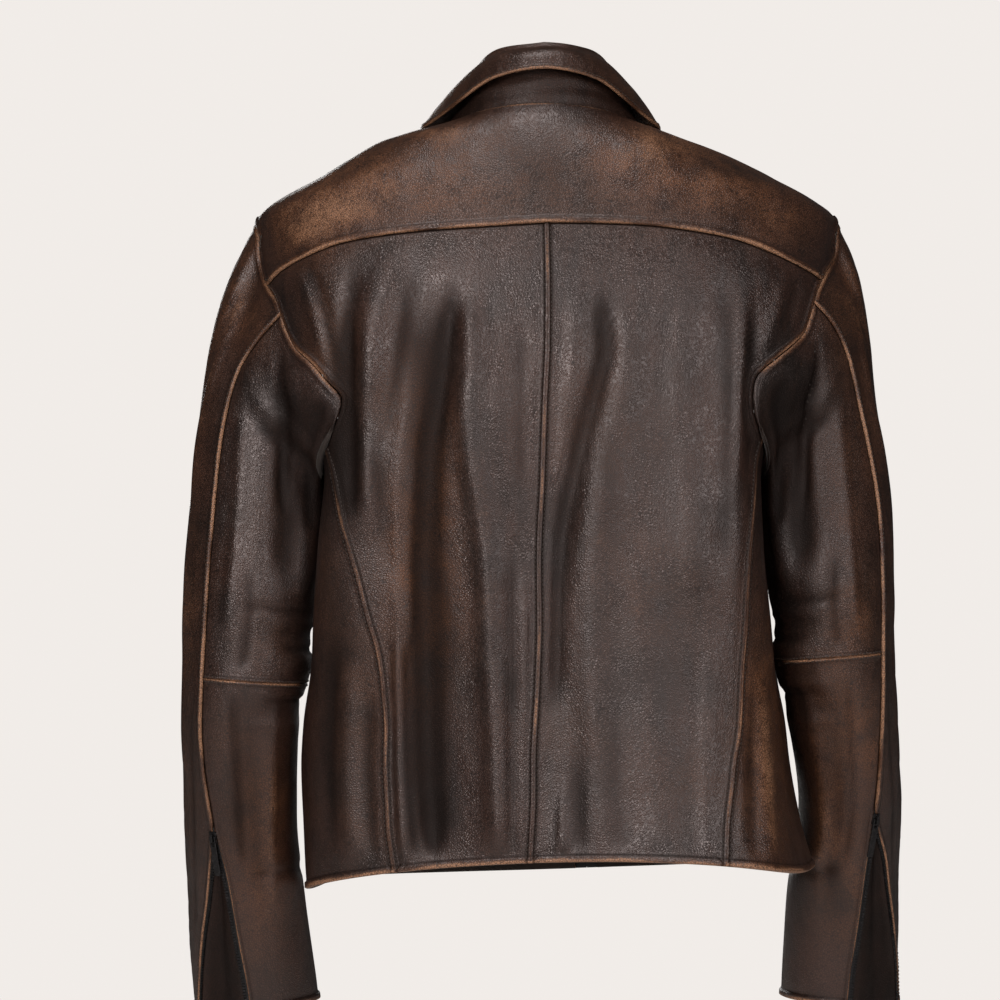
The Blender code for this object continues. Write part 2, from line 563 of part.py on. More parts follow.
def build_cuff_zip(side, s):
    """Tapes along both edges of the open cuff and the folded gusset between them."""
    surface = sleeve(side)
    outer, inner = cuff_edge(side, "outer", s), cuff_edge(side, "inner", s)
    gap = np.linalg.norm(surface(outer, s) - surface(inner, s), axis=-1)
    wide = np.minimum(TAPE, gap * 0.5 - 0.0001) / gap

    def between(a, b, n):
        part = np.linspace(0, 1, n + 1)[None]
        at = a[:, None] * (1 - part) + b[:, None] * part
        angle = outer[:, None] * (1 - at) + inner[:, None] * at
        return np.stack([angle, np.broadcast_to(s[:, None], angle.shape)], axis=-1)

    zero, one = np.zeros_like(s), np.ones_like(s)
    recess = np.full((len(s), 2), 0.0004)
    sleeve_panel(side, "cuff_tape_outer_" + side, between(zero, wide, 1), "zip_tape", recess)
    sleeve_panel(side, "cuff_tape_inner_" + side, between(one - wide, one, 1), "zip_tape", recess)
    from_row = 2
    grid = between(wide, one - wide, 4)[from_row:]
    deepest = np.linspace(0.001, 0.010, len(s) - from_row)[:, None]
    depth = np.sin(np.linspace(0, np.pi, 5))[None] * deepest + 0.0006
    sleeve_panel(side, "gusset_" + side, grid, "leather", depth)


def collar_rows(u):
    """Neckline, roll and edge of the collar at u, each with its outward direction."""
    neck = torso(u, np.ones_like(u))
    turn = np.degrees(np.abs(u))
    high = smooth((0, 40, 90, 130, 172), (0.0775, 0.0740, 0.0510, 0.0040, -0.0440), turn)
    wide = smooth((0, 40, 90, 130, 172), (0.0560, 0.0560, 0.0580, 0.0620, 0.0560), turn)
    deep = smooth((0, 40, 90, 130, 172), (0.0640, 0.0640, 0.0640, 0.0720, 0.0860), turn)
    roll = np.stack([wide * np.sin(u), deep * np.cos(u), high], axis=-1)
    return neck, roll


def build_collar():
    end = radians(171)
    u = np.linspace(end, -end, 25)
    neck, roll = collar_rows(u)
    out = np.stack([np.sin(u), np.cos(u), np.zeros_like(u)], axis=-1)
    base = neck * [0.997, 0.997, 1] + [0, 0, 0.0004]
    t = np.array([0, 0.34, 0.68, 1.0])[:, None, None]
    grid = base[None] * (1 - t) + (roll - [0, 0, 0.004])[None] * t
    grid = grid + out[None] * np.sin(t * np.pi) * 0.002
    normals = grid_normals(grid, out)
    shell("collar_stand", grid, normals, "leather", inset=0.0)
    fall_end = radians(152)
    u = np.linspace(fall_end, -fall_end, 27)
    neck, roll = collar_rows(u)
    out = np.stack([np.sin(u), np.cos(u), np.zeros_like(u)], axis=-1)
    turn = np.degrees(np.abs(u))
    reach_v = smooth((0, 60, 90, 120, 152), (0.975, 0.972, 0.960, 0.935, 0.90), turn)
    lying = torso(u, reach_v) + facing(torso, u, reach_v, 1) * 0.0042
    free = np.stack([0.088 * np.sin(u), 0.086 * np.cos(u), 0.0530 - 0.026 * np.sin(u) ** 2], axis=-1)
    rest = smooth((0, 30, 85, 152), (0, 0.03, 1, 1), turn)[:, None]
    edge = free * (1 - rest) + lying * rest
    up = np.array([0, 0, 1.0])
    first = roll + up * -0.0028
    crest = roll + out * 0.0035 + up * 0.0006
    start = roll + out * 0.0075 - up * 0.0035
    rows = [first, roll + out * 0.0006, crest, start]
    for t in (0.34, 0.67, 1.0):
        lift = out * 0.003 * np.sin(np.pi * t) + up * 0.004 * np.sin(np.pi * t)
        rows.append(start * (1 - t) + edge * t + lift)
    grid = np.stack(rows)
    shell("collar_fall", grid, grid_normals(grid, out + up * 0.4), "leather", inset=0.0)


def grid_normals(grid, toward):
    """Normals of a grid of points, on the side that the given directions name."""
    da = np.gradient(grid, axis=0)
    db = np.gradient(grid, axis=1)
    n = np.cross(da, db)
    n = n / np.maximum(np.linalg.norm(n, axis=-1, keepdims=True), 1e-12)
    flip = np.sign(np.sum(n[-1] * toward, axis=-1).mean())
    return n * flip


def blocks(name, frame, lines, filled, slot):
    """One body from the filled cells of a grid in a local frame (across, along, outward)."""
    origin, axes = frame
    xs, ys, zs = lines
    cells = {(i, j, k) for (i0, i1), (j0, j1), (k0, k1) in filled
             for i in range(i0, i1) for j in range(j0, j1) for k in range(k0, k1)}
    index, verts, faces = {}, [], []

    def corner(i, j, k):
        if (i, j, k) not in index:
            index[i, j, k] = len(verts)
            verts.append(origin + axes[0] * xs[i] + axes[1] * ys[j] + axes[2] * zs[k])
        return index[i, j, k]

    for cell in sorted(cells):
        for axis in range(3):
            for step in (0, 1):
                beside = list(cell)
                beside[axis] += 2 * step - 1
                if tuple(beside) in cells:
                    continue
                b, c = (axis + 1) % 3, (axis + 2) % 3
                quad = []
                for db, dc in ((0, 0), (1, 0), (1, 1), (0, 1)):
                    at = list(cell)
                    at[axis] += step
                    at[b] += db
                    at[c] += dc
                    quad.append(corner(*at))
                faces.append(quad)
    return solid(name, verts, faces, slot)


def slider_and_pull(tag, frame, length, slider_name):
    """Slider with an arch, and a pull tab whose eye turns under that arch."""
    lines = ((-0.0034, -0.0009, 0.0009, 0.0034), (-0.0050, -0.0042, -0.0026, 0.0026, 0.0042, 0.0050),
             (0.0005, 0.0024, 0.0046, 0.0056))
    filled = (((0, 3), (0, 5), (0, 1)), ((1, 2), (1, 2), (1, 2)),
              ((1, 2), (3, 4), (1, 2)), ((1, 2), (1, 4), (2, 3)))
    blocks(slider_name, frame, lines, filled, "zip_metal")
    lines = ((-0.0030, -0.0016, 0.0016, 0.0030), (-0.0006, 0.0006, 0.0080, length), (0.0029, 0.0041))
    filled = (((0, 3), (0, 1), (0, 1)), ((0, 1), (1, 2), (0, 1)),
              ((2, 3), (1, 2), (0, 1)), ((0, 3), (2, 3), (0, 1)))
    made = blocks(tag, frame, lines, filled, "zip_metal")
    origin, axes = frame
    pivot = bpy.data.objects.new(tag + "_pivot", None)
    bpy.context.scene.collection.objects.link(pivot)
    pivot.location = origin + axes[2] * 0.0035
    bpy.context.view_layer.update()
    made.parent = pivot
    made.matrix_parent_inverse = pivot.matrix_world.inverted()
    return pivot


def local_frame(point, out, along):
    """Across, along and outward axes at a point."""
    out = Vector(out).normalized()
    along = Vector(along)
    along = (along - out * along.dot(out)).normalized()
    across = along.cross(out).normalized()
    return Vector(point), (across, along, out)


def build_zips():
    for side in ("left", "right"):
        surface = sleeve(side)
        s = np.array(ZIP_TOP[side] + 0.012)
        angle = (cuff_edge(side, "outer", s) + cuff_edge(side, "inner", s)) / 2
        point = surface(angle, s)
        out = surface.face(surface, angle, s)
        frame = local_frame(point, out, (0, 0, -1))
        slider_and_pull("cuff_pull_" + side, frame, 0.036, "cuff_slider_" + side)
    u, v = np.array(np.pi), np.array(0.965)
    out = facing(torso, u, v, 1)
    slider_and_pull("front_pull", local_frame(torso(u, v), out, (0, 0, -1)), 0.040, "front_slider")


def main():
    for existing in list(bpy.data.objects):
        bpy.data.objects.remove(existing)
    build_body()
    build_sleeve("left")
    build_sleeve("right")
    build_collar()
    build_zips()


main()
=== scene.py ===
"""Worn leather jacket: sewn leather panels, zips, finishes and a plain studio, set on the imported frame."""

from collections import namedtuple
from functools import cache
from math import radians

import bpy
import numpy as np
from bpy.props import FloatProperty, FloatVectorProperty, PointerProperty
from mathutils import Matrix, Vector


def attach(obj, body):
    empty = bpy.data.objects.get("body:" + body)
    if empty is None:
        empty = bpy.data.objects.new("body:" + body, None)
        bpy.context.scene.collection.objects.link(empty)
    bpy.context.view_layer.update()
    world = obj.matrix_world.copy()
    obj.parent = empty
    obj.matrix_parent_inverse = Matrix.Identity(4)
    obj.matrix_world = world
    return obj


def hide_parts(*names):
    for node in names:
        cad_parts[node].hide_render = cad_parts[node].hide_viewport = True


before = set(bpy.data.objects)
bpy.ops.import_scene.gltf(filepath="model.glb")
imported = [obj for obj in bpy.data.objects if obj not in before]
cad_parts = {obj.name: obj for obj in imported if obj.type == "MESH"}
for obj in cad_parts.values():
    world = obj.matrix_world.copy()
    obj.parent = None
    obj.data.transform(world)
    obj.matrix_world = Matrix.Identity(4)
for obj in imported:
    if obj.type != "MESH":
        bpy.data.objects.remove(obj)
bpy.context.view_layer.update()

bl_info = {
    "name": "Worn leather jacket",
    "version": (1, 0, 0),
    "blender": (4, 5, 0),
    "location": "View3D > Sidebar > Jacket",
    "description": "Sewn panels, zips, finishes and studio of a worn leather jacket",
    "category": "Object",
}

SIDES = (("left", 1), ("right", -1))

# Rings of the body from hem to neck: v, z back, z side, z front, half width, depth back,
# depth front, middle x, twist in degrees, squareness, tilt
TORSO = (
    (0.00, -0.6325, -0.659, -0.664, 0.2240, 0.132, 0.120, -0.0170, 12, 0.085, -0.055),
    (0.07, -0.588, -0.605, -0.606, 0.2185, 0.128, 0.118, -0.0085, 10, 0.085, -0.030),
    (0.14, -0.535, -0.545, -0.546, 0.2150, 0.125, 0.116, -0.0025, 9, 0.085, -0.015),
    (0.21, -0.482, -0.488, -0.488, 0.2115, 0.124, 0.116, -0.0015, 7, 0.090, 0.0),
    (0.28, -0.428, -0.430, -0.430, 0.2060, 0.124, 0.117, -0.0005, 5, 0.105, 0.0),
    (0.36, -0.362, -0.362, -0.362, 0.1975, 0.124, 0.119, 0.0, 4, 0.120, 0.0),
    (0.44, -0.300, -0.300, -0.300, 0.1950, 0.126, 0.122, 0.0, 2, 0.110, 0.0),
    (0.52, -0.236, -0.240, -0.242, 0.2100, 0.127, 0.122, -0.001, 1, 0.090, 0.0),
    (0.59, -0.182, -0.192, -0.196, 0.2335, 0.125, 0.120, -0.002, 0, 0.075, 0.0),
    (0.65, -0.132, -0.150, -0.156, 0.2470, 0.121, 0.115, -0.003, 0, 0.060, 0.0),
    (0.71, -0.088, -0.112, -0.120, 0.2550, 0.114, 0.108, -0.003, 0, 0.035, 0.0),
    (0.76, -0.045, -0.076, -0.096, 0.2585, 0.102, 0.098, -0.003, 0, 0.010, 0.0),
    (0.82, -0.014, -0.038, -0.084, 0.2065, 0.091, 0.090, -0.002, 0, 0.0, 0.0),
    (0.90, 0.006, -0.004, -0.076, 0.1385, 0.082, 0.084, 0.005, 0, 0.0, 0.0),
    (1.00, 0.0240, 0.0110, -0.068, 0.0860, 0.071, 0.078, 0.0, 0, 0.0, 0.0),
)
# Sleeve rings from under the cap to the cuff: s, x, y, z, half width, half depth, tilt in degrees
SLEEVES = {
    "left": (
        (0.26, 0.2462, 0.004, -0.292, 0.0735, 0.0640, 35),
        (0.36, 0.2520, 0.010, -0.352, 0.0633, 0.0625, 17),
        (0.46, 0.2577, 0.015, -0.410, 0.0588, 0.0605, 6),
        (0.58, 0.2652, 0.015, -0.484, 0.0545, 0.0575, 4),
        (0.68, 0.2702, 0.006, -0.540, 0.0511, 0.0550, 0),
        (0.78, 0.2705, -0.010, -0.604, 0.0495, 0.0535, -4),
        (0.90, 0.2667, -0.036, -0.686, 0.0520, 0.0530, -4),
        (1.00, 0.2599, -0.062, -0.780, 0.0564, 0.0540, -4),
    ),
    "right": (
        (0.26, -0.2428, 0.004, -0.286, 0.0662, 0.0630, 35),
        (0.36, -0.2500, 0.008, -0.346, 0.0600, 0.0615, 17),
        (0.46, -0.2543, 0.012, -0.402, 0.0543, 0.0600, 6),
        (0.58, -0.2606, 0.004, -0.476, 0.0525, 0.0570, 4),
        (0.68, -0.2702, -0.016, -0.540, 0.0476, 0.0545, 0),
        (0.78, -0.2767, -0.042, -0.604, 0.0458, 0.0530, -3),
        (0.90, -0.2733, -0.070, -0.686, 0.0498, 0.0530, -3),
        (1.00, -0.2733, -0.094, -0.780, 0.0538, 0.0540, -3),
    ),
}
# Armhole: angle round the sleeve, then the body's u in degrees and v
ARMHOLES = {
    "left": (
        (0, 93, 0.763), (18, 80, 0.740), (34, 81, 0.718), (48, 79, 0.690), (62, 67, 0.648), (76, 64, 0.619),
        (90, 60, 0.592), (104, 52, 0.567), (116, 47.5, 0.543), (128, 44, 0.523), (142, 48, 0.496),
        (156, 62, 0.465), (170, 79, 0.446), (180, 90, 0.440), (196, 106, 0.447), (214, 120, 0.470),
        (232, 127, 0.505), (250, 128, 0.548), (270, 125, 0.600), (292, 119, 0.655), (314, 111, 0.705),
        (338, 101, 0.744),
    ),
    "right": (
        (0, 93, 0.765), (18, 82, 0.745), (34, 82, 0.724), (48, 71, 0.690), (62, 65, 0.661), (76, 62.5, 0.632),
        (90, 61, 0.610), (104, 56, 0.593), (116, 49.5, 0.574), (128, 44, 0.547), (142, 47, 0.510),
        (156, 62, 0.470), (170, 79, 0.447), (180, 90, 0.440), (196, 106, 0.447), (214, 120, 0.470),
        (232, 127, 0.505), (250, 128, 0.548), (270, 125, 0.600), (292, 119, 0.655), (314, 111, 0.705),
        (338, 101, 0.745),
    ),
}
# Angles round the armhole where the seams of body and sleeve meet it
SHOULDER, YOKE, SLEEVE_BACK, PRINCESS, SIDE_FRONT, SLEEVE_FRONT = 0, 53, 69, 152, 232, 252
BAND_END = 124  # the armhole's turned band shows down to this angle
NECK_SIDE, SIDE_HEM = radians(95), radians(112)  # where the shoulder seam meets the neck, the front side seam the hem
ZIP_HALF, TAPE = 0.0105, 0.0034  # half width of the front zip, width of a cuff tape
# Seams of the back as x, z seen from behind, and where the centre back seam meets the yoke and the hem
YOKE_MIDDLE, HEM_MIDDLE = (-0.0015, -0.0830), (0.0125, -0.634)
CENTRE_BACK = (HEM_MIDDLE, (0.0090, -0.526), (0.0052, -0.374), (0.0030, -0.320), (-0.0015, -0.089))
YOKE_SEAM = (
    (0.2090, -0.1106), (0.1740, -0.0985), (0.1270, -0.0915), (0.0580, -0.0865), YOKE_MIDDLE,
    (-0.0820, -0.0845), (-0.1350, -0.0905), (-0.1600, -0.0950), (-0.1980, -0.1075), (-0.2190, -0.1165),
)
PRINCESS_SEAM = {
    "left": ((0.1300, -0.638), (0.1355, -0.601), (0.1370, -0.527), (0.1395, -0.486), (0.1440, -0.453),
             (0.1525, -0.424), (0.1625, -0.385), (0.1740, -0.347)),
    "right": ((-0.1530, -0.630), (-0.1557, -0.596), (-0.1608, -0.555), (-0.1669, -0.514),
              (-0.1694, -0.466), (-0.1729, -0.4205), (-0.1755, -0.374), (-0.1790, -0.335)),
}
SIDE_TOP = 0.52  # v at which the rows of the centre back and the fronts change their spacing
ELBOW = {"left": 0.575, "right": 0.555}  # s of the seam above the forearm
# Back seam of each sleeve as s and angle, and s of the zip's top, below which both edges of the open cuff
# run, as share of the zip's length and angle
BACK_SEAM = {
    "left": ((0.0, 69), (0.15, 57), (0.30, 52), (0.45, 50), (0.60, 51), (0.70, 54), (0.79, 64)),
    "right": ((0.0, 69), (0.15, 52), (0.30, 43), (0.45, 38), (0.58, 44), (0.68, 54), (0.77, 66)),
}
ZIP_TOP = {"left": 0.790, "right": 0.770}
OUTER_EDGE = {
    "left": ((0.0, 63.5), (0.08, 62), (0.3, 57), (0.5, 50), (0.72, 38), (0.85, 31), (1.0, 25)),
    "right": ((0.0, 65.5), (0.08, 63), (0.3, 47), (0.5, 37), (0.72, 24), (0.85, 14), (1.0, 10)),
}
INNER_EDGE = {
    "left": ((0.0, 64.5), (0.08, 68), (0.3, 75), (0.5, 79), (0.72, 83), (0.85, 86), (1.0, 88)),
    "right": ((0.0, 66.5), (0.08, 68), (0.3, 71), (0.5, 74), (0.72, 80), (0.85, 85), (1.0, 88)),
}
# Front seam of both sleeves as s and angle, with its angle at the cuff
FRONT_CUFF = 258
FRONT_SEAM = ((0.0, 252), (0.3, 256), (0.6, FRONT_CUFF), (1.0, FRONT_CUFF))

# Main folds of the body: path of (x, z), half width, height. These are the solid's own.
BACK_FOLDS = (
    (((0.171, -0.17), (0.172, -0.25), (0.172, -0.32)), 0.013, -0.0045),
    (((0.155, -0.16), (0.157, -0.26), (0.152, -0.34)), 0.014, 0.0040),
    (((0.106, -0.16), (0.098, -0.34), (0.092, -0.52), (0.088, -0.62)), 0.020, -0.0040),
    (((0.045, -0.22), (0.040, -0.40), (0.034, -0.62)), 0.026, 0.0045),
    (((0.123, -0.46), (0.120, -0.54), (0.116, -0.63)), 0.010, 0.0035),
    (((-0.166, -0.16), (-0.162, -0.25), (-0.160, -0.33)), 0.013, 0.0040),
    (((-0.100, -0.20), (-0.110, -0.40), (-0.116, -0.60)), 0.026, -0.0035),
    (((-0.050, -0.30), (-0.052, -0.46), (-0.050, -0.62)), 0.024, 0.0030),
)
FRONT_FOLDS = (
    (((0.120, -0.20), (0.112, -0.40), (0.104, -0.62)), 0.024, -0.0045),
    (((0.070, -0.28), (0.066, -0.46), (0.062, -0.64)), 0.024, 0.0040),
    (((-0.122, -0.20), (-0.114, -0.40), (-0.110, -0.62)), 0.024, -0.0045),
    (((-0.068, -0.28), (-0.070, -0.46), (-0.068, -0.64)), 0.024, 0.0040),
)
# Where the arms press the sides in: z, y, depth, height, side (1 left, -1 right, 0 both)
ARM_DENTS = (
    (-0.310, 0.012, 0.0100, 0.045, 0), (-0.385, 0.014, 0.0105, 0.050, 0), (-0.455, 0.012, 0.0090, 0.042, 0),
    (-0.655, -0.055, 0.0170, 0.060, -1), (-0.335, 0.004, 0.0035, 0.035, 1),
)
DENT_REACH = 0.045  # how far such a dent goes from front to back
# Main folds of both sleeves: path of (angle, s), half width in angle, height
SLEEVE_FOLDS = (
    (((98, 0.10), (112, 0.26), (118, 0.40)), 13, -0.0050),
    (((128, 0.12), (140, 0.30), (142, 0.44)), 12, 0.0040),
    (((20, 0.14), (24, 0.34), (22, 0.52)), 13, 0.0030),
    (((300, 0.14), (292, 0.34), (288, 0.50)), 16, -0.0040),
    (((100, 0.62), (108, 0.74), (112, 0.88)), 14, -0.0030),
)
# Folds across the elbow: s, middle angle, half reach, half width in s, height
ELBOW_FOLDS = ((0.50, 190, 70, 0.022, -0.0035), (0.545, 200, 80, 0.020, 0.0030), (0.615, 190, 80, 0.022, -0.0030))

# Smaller creases of the leather on the back: path of (x, z), half width, height
BACK_CREASES = (
    (((0.077, -0.147), (0.083, -0.182), (0.090, -0.236), (0.098, -0.274), (0.101, -0.320),
      (0.104, -0.408), (0.102, -0.511), (0.097, -0.623)), 0.0100, -0.0052),
    (((0.068, -0.156), (0.064, -0.205), (0.067, -0.243), (0.064, -0.281), (0.057, -0.323),
      (0.050, -0.381), (0.047, -0.451), (0.042, -0.537), (0.040, -0.623)), 0.0105, 0.0050),
    (((-0.050, -0.155), (-0.052, -0.189), (-0.043, -0.230), (-0.033, -0.268), (-0.025, -0.305),
      (-0.014, -0.361), (-0.008, -0.426), (-0.006, -0.494)), 0.0090, -0.0046),
    (((-0.071, -0.176), (-0.066, -0.237), (-0.052, -0.297), (-0.040, -0.365), (-0.035, -0.443),
      (-0.042, -0.529)), 0.0135, 0.0022),
    (((-0.027, -0.151), (-0.024, -0.202), (-0.018, -0.254), (-0.013, -0.297)), 0.0060, 0.0020),
    (((-0.109, -0.151), (-0.100, -0.202), (-0.097, -0.254)), 0.0095, -0.0008),
    (((-0.125, -0.142), (-0.119, -0.219), (-0.125, -0.305), (-0.128, -0.391)), 0.0149, 0.0020),
    (((-0.155, -0.142), (-0.160, -0.202), (-0.157, -0.280), (-0.152, -0.374)), 0.0081, -0.0020),
    (((-0.173, -0.151), (-0.168, -0.219), (-0.165, -0.297)), 0.0040, 0.0029),
    (((-0.180, -0.168), (-0.179, -0.237), (-0.178, -0.305)), 0.0045, -0.0032),
    (((-0.082, -0.374), (-0.087, -0.460), (-0.094, -0.546), (-0.099, -0.623)), 0.0162, 0.0018),
    (((-0.133, -0.408), (-0.128, -0.494), (-0.125, -0.580), (-0.125, -0.632)), 0.0121, -0.0008),
    (((-0.143, -0.443), (-0.140, -0.529), (-0.138, -0.623)), 0.0081, 0.0014),
    (((-0.063, -0.408), (-0.059, -0.494), (-0.061, -0.580), (-0.066, -0.632)), 0.0108, -0.0009),
    (((-0.015, -0.580), (-0.015, -0.610), (-0.016, -0.640)), 0.0045, 0.0029),
    (((-0.027, -0.546), (-0.028, -0.597), (-0.030, -0.640)), 0.0060, -0.0019),
    (((0.137, -0.118), (0.143, -0.151), (0.149, -0.185), (0.152, -0.237)), 0.0110, 0.0035),
    (((0.114, -0.118), (0.121, -0.168), (0.128, -0.219), (0.133, -0.271)), 0.0070, -0.0022),
    (((0.166, -0.125), (0.168, -0.185), (0.168, -0.254), (0.166, -0.323)), 0.0055, -0.0035),
    (((0.119, -0.237), (0.126, -0.305), (0.128, -0.374), (0.121, -0.443)), 0.0090, 0.0023),
    (((0.145, -0.280), (0.138, -0.340), (0.131, -0.391)), 0.0070, -0.0019),
    (((0.126, -0.443), (0.128, -0.511), (0.127, -0.580), (0.125, -0.633)), 0.0048, 0.0029),
    (((0.118, -0.443), (0.119, -0.511), (0.117, -0.580), (0.113, -0.633)), 0.0055, -0.0029),
    (((0.028, -0.374), (0.028, -0.460), (0.028, -0.546), (0.028, -0.632)), 0.0050, -0.0025),
    (((0.016, -0.408), (0.016, -0.494), (0.016, -0.572), (0.016, -0.632)), 0.0036, 0.0026),
    (((0.020, -0.168), (0.022, -0.237), (0.020, -0.305)), 0.0060, -0.0014),
    (((0.168, -0.477), (0.172, -0.546), (0.169, -0.632)), 0.0085, 0.0026),
    (((0.185, -0.460), (0.187, -0.529), (0.185, -0.615)), 0.0075, -0.0023),
    (((0.150, -0.494), (0.152, -0.563), (0.150, -0.632)), 0.0065, -0.0020),
    (((-0.188, -0.494), (-0.192, -0.563), (-0.195, -0.632)), 0.0070, 0.0026),
    (((-0.178, -0.494), (-0.178, -0.563), (-0.179, -0.632)), 0.0055, -0.0022),
    (((0.214, -0.118), (0.200, -0.159), (0.192, -0.195)), 0.0040, 0.0029),
    (((0.205, -0.118), (0.192, -0.161), (0.182, -0.199)), 0.0045, -0.0026),
    (((-0.223, -0.118), (-0.216, -0.151), (-0.207, -0.182)), 0.0045, -0.0026),
    (((-0.210, -0.115), (-0.204, -0.151), (-0.193, -0.185)), 0.0045, 0.0023),
)
# The leather spans the right half's valley more tightly than the solid does
BACK_SPANS = ((((-0.100, -0.20), (-0.110, -0.40), (-0.116, -0.60)), 0.026, 0.0030),)
# The same kind of creases on the hidden front
FRONT_CREASES = (
    (((0.175, -0.200), (0.160, -0.300), (0.150, -0.420)), 0.0075, -0.0023),
    (((0.150, -0.250), (0.138, -0.380), (0.132, -0.520)), 0.0075, 0.0021),
    (((0.095, -0.320), (0.090, -0.450), (0.086, -0.600)), 0.0070, -0.0019),
    (((0.040, -0.300), (0.038, -0.460), (0.038, -0.620)), 0.0075, 0.0017),
    (((-0.178, -0.200), (-0.164, -0.310), (-0.152, -0.430)), 0.0075, -0.0023),
    (((-0.150, -0.260), (-0.140, -0.400), (-0.134, -0.540)), 0.0075, 0.0021),
    (((-0.094, -0.340), (-0.090, -0.470), (-0.088, -0.610)), 0.0070, -0.0019),
    (((-0.042, -0.280), (-0.040, -0.440), (-0.040, -0.600)), 0.0075, 0.0017),
)
# Creases of both sleeves: path of (angle, s), half width in angle, height
SLEEVE_CREASES = (
    (((40, 0.05), (26, 0.25), (18, 0.40), (16, 0.58), (20, 0.72)), 3.2, 0.0022),
    (((32, 0.08), (18, 0.26), (10, 0.42), (8, 0.60), (12, 0.74)), 4.5, -0.0019),
    (((84, 0.04), (100, 0.16), (110, 0.30)), 4.2, -0.0032),
    (((92, 0.03), (108, 0.15), (120, 0.28)), 4.0, 0.0026),
    (((118, 0.05), (126, 0.18), (134, 0.32)), 5.0, -0.0029),
    (((70, 0.22), (74, 0.36), (72, 0.50)), 5.6, 0.0018),
    (((88, 0.42), (92, 0.50), (90, 0.56)), 5.0, -0.0019),
    (((84, 0.60), (90, 0.70), (94, 0.84)), 5.6, -0.0018),
    (((130, 0.60), (128, 0.74), (122, 0.90)), 6.2, 0.0021),
    (((36, 0.60), (34, 0.74), (28, 0.92)), 4.2, -0.0019),
    (((10, 0.66), (8, 0.80), (6, 0.96)), 5.0, 0.0018),
    (((320, 0.10), (310, 0.26), (306, 0.44)), 6.2, 0.0026),
    (((286, 0.08), (280, 0.22), (276, 0.40)), 6.2, -0.0029),
    (((336, 0.50), (330, 0.66), (334, 0.86)), 6.2, -0.0019),
    (((300, 0.56), (296, 0.70), (292, 0.88)), 6.2, 0.0019),
)
# Short creases across a sleeve at the elbow: s, middle angle, half reach, half width in s, height
SLEEVE_TUCKS = (
    (0.155, 100, 26, 0.0120, 0.0018), (0.195, 106, 28, 0.0140, -0.0024),
    (0.47, 120, 30, 0.0055, -0.0019), (0.49, 150, 34, 0.0060, 0.0018), (0.525, 168, 40, 0.0055, -0.0024),
    (0.59, 140, 34, 0.0050, 0.0018), (0.605, 160, 40, 0.0055, -0.0021), (0.645, 130, 30, 0.0060, 0.0015),
    (0.52, 300, 34, 0.0060, -0.0018), (0.60, 290, 36, 0.0060, 0.0018), (0.86, 150, 44, 0.0080, -0.0018),
    (0.90, 300, 44, 0.0080, -0.0018),
)
# Patches of the back, of rubbed finish and of painted shade: x, z, half width, half height, warm, worn, dark
# The dark is painted shade in the valleys, beside the armholes and on the sides that turn away; on the yoke a darker
# tone
BACK_PATCHES = (
    (0.133, -0.030, 0.075, 0.034, 0.52, 0.20, 0.0), (0.078, 0.000, 0.045, 0.016, 0.64, 0.34, 0.0),
    (0.205, -0.085, 0.034, 0.030, 0.80, 0.42, 0.0), (0.170, -0.068, 0.040, 0.020, 0.50, 0.25, 0.0),
    (-0.085, -0.018, 0.060, 0.024, 0.64, 0.30, 0.0), (-0.150, -0.055, 0.050, 0.024, 0.44, 0.16, 0.0),
    (-0.205, -0.080, 0.030, 0.022, 0.56, 0.28, 0.0), (-0.120, 0.000, 0.040, 0.018, 0.54, 0.22, 0.0),
    (0.105, -0.050, 0.120, 0.038, 0.60, 0.10, 0.0), (-0.115, -0.045, 0.100, 0.038, 0.60, 0.10, 0.0),
    (0.000, -0.045, 0.045, 0.030, 0.05, 0.00, 0.30), (0.090, -0.066, 0.080, 0.014, 0.30, 0.10, 0.15),
    (-0.100, -0.070, 0.080, 0.012, 0.15, 0.00, 0.25),
    (0.185, -0.190, 0.020, 0.060, 0.45, 0.10, 0.0), (0.120, -0.250, 0.032, 0.080, 0.42, 0.06, 0.0),
    (0.094, -0.345, 0.020, 0.085, 1.00, 0.14, 0.0), (0.105, -0.430, 0.034, 0.070, 0.75, 0.10, 0.0),
    (0.118, -0.360, 0.026, 0.040, 0.60, 0.10, 0.0),
    (0.050, -0.300, 0.020, 0.090, 0.00, 0.04, 0.0), (-0.050, -0.250, 0.060, 0.060, 0.25, 0.05, 0.0),
    (-0.090, -0.400, 0.060, 0.070, 0.22, 0.06, 0.0), (-0.020, -0.520, 0.040, 0.050, 0.20, 0.04, 0.0),
    (-0.120, -0.560, 0.040, 0.040, 0.25, 0.06, 0.0), (0.160, -0.500, 0.022, 0.070, 0.40, 0.10, 0.0),
    (0.150, -0.600, 0.030, 0.030, 0.30, 0.06, 0.0), (0.186, -0.500, 0.030, 0.130, 0.10, 0.00, 0.45),
    (0.108, -0.540, 0.014, 0.100, 0.10, 0.00, 0.35), (0.172, -0.330, 0.012, 0.070, 0.00, 0.00, 0.40),
    (-0.052, -0.300, 0.012, 0.090, 0.05, 0.00, 0.30), (-0.176, -0.400, 0.012, 0.090, 0.10, 0.00, 0.35),
    (-0.192, -0.555, 0.026, 0.090, 1.00, 0.36, 0.0), (-0.186, -0.470, 0.016, 0.060, 0.60, 0.14, 0.0),
    (0.188, -0.400, 0.020, 0.050, 0.25, 0.02, 0.0), (0.174, -0.240, 0.012, 0.080, 0.00, 0.00, 0.5),
    (0.193, -0.285, 0.012, 0.045, 0.00, 0.00, 0.90), (-0.193, -0.280, 0.012, 0.045, 0.00, 0.00, 0.90),
)
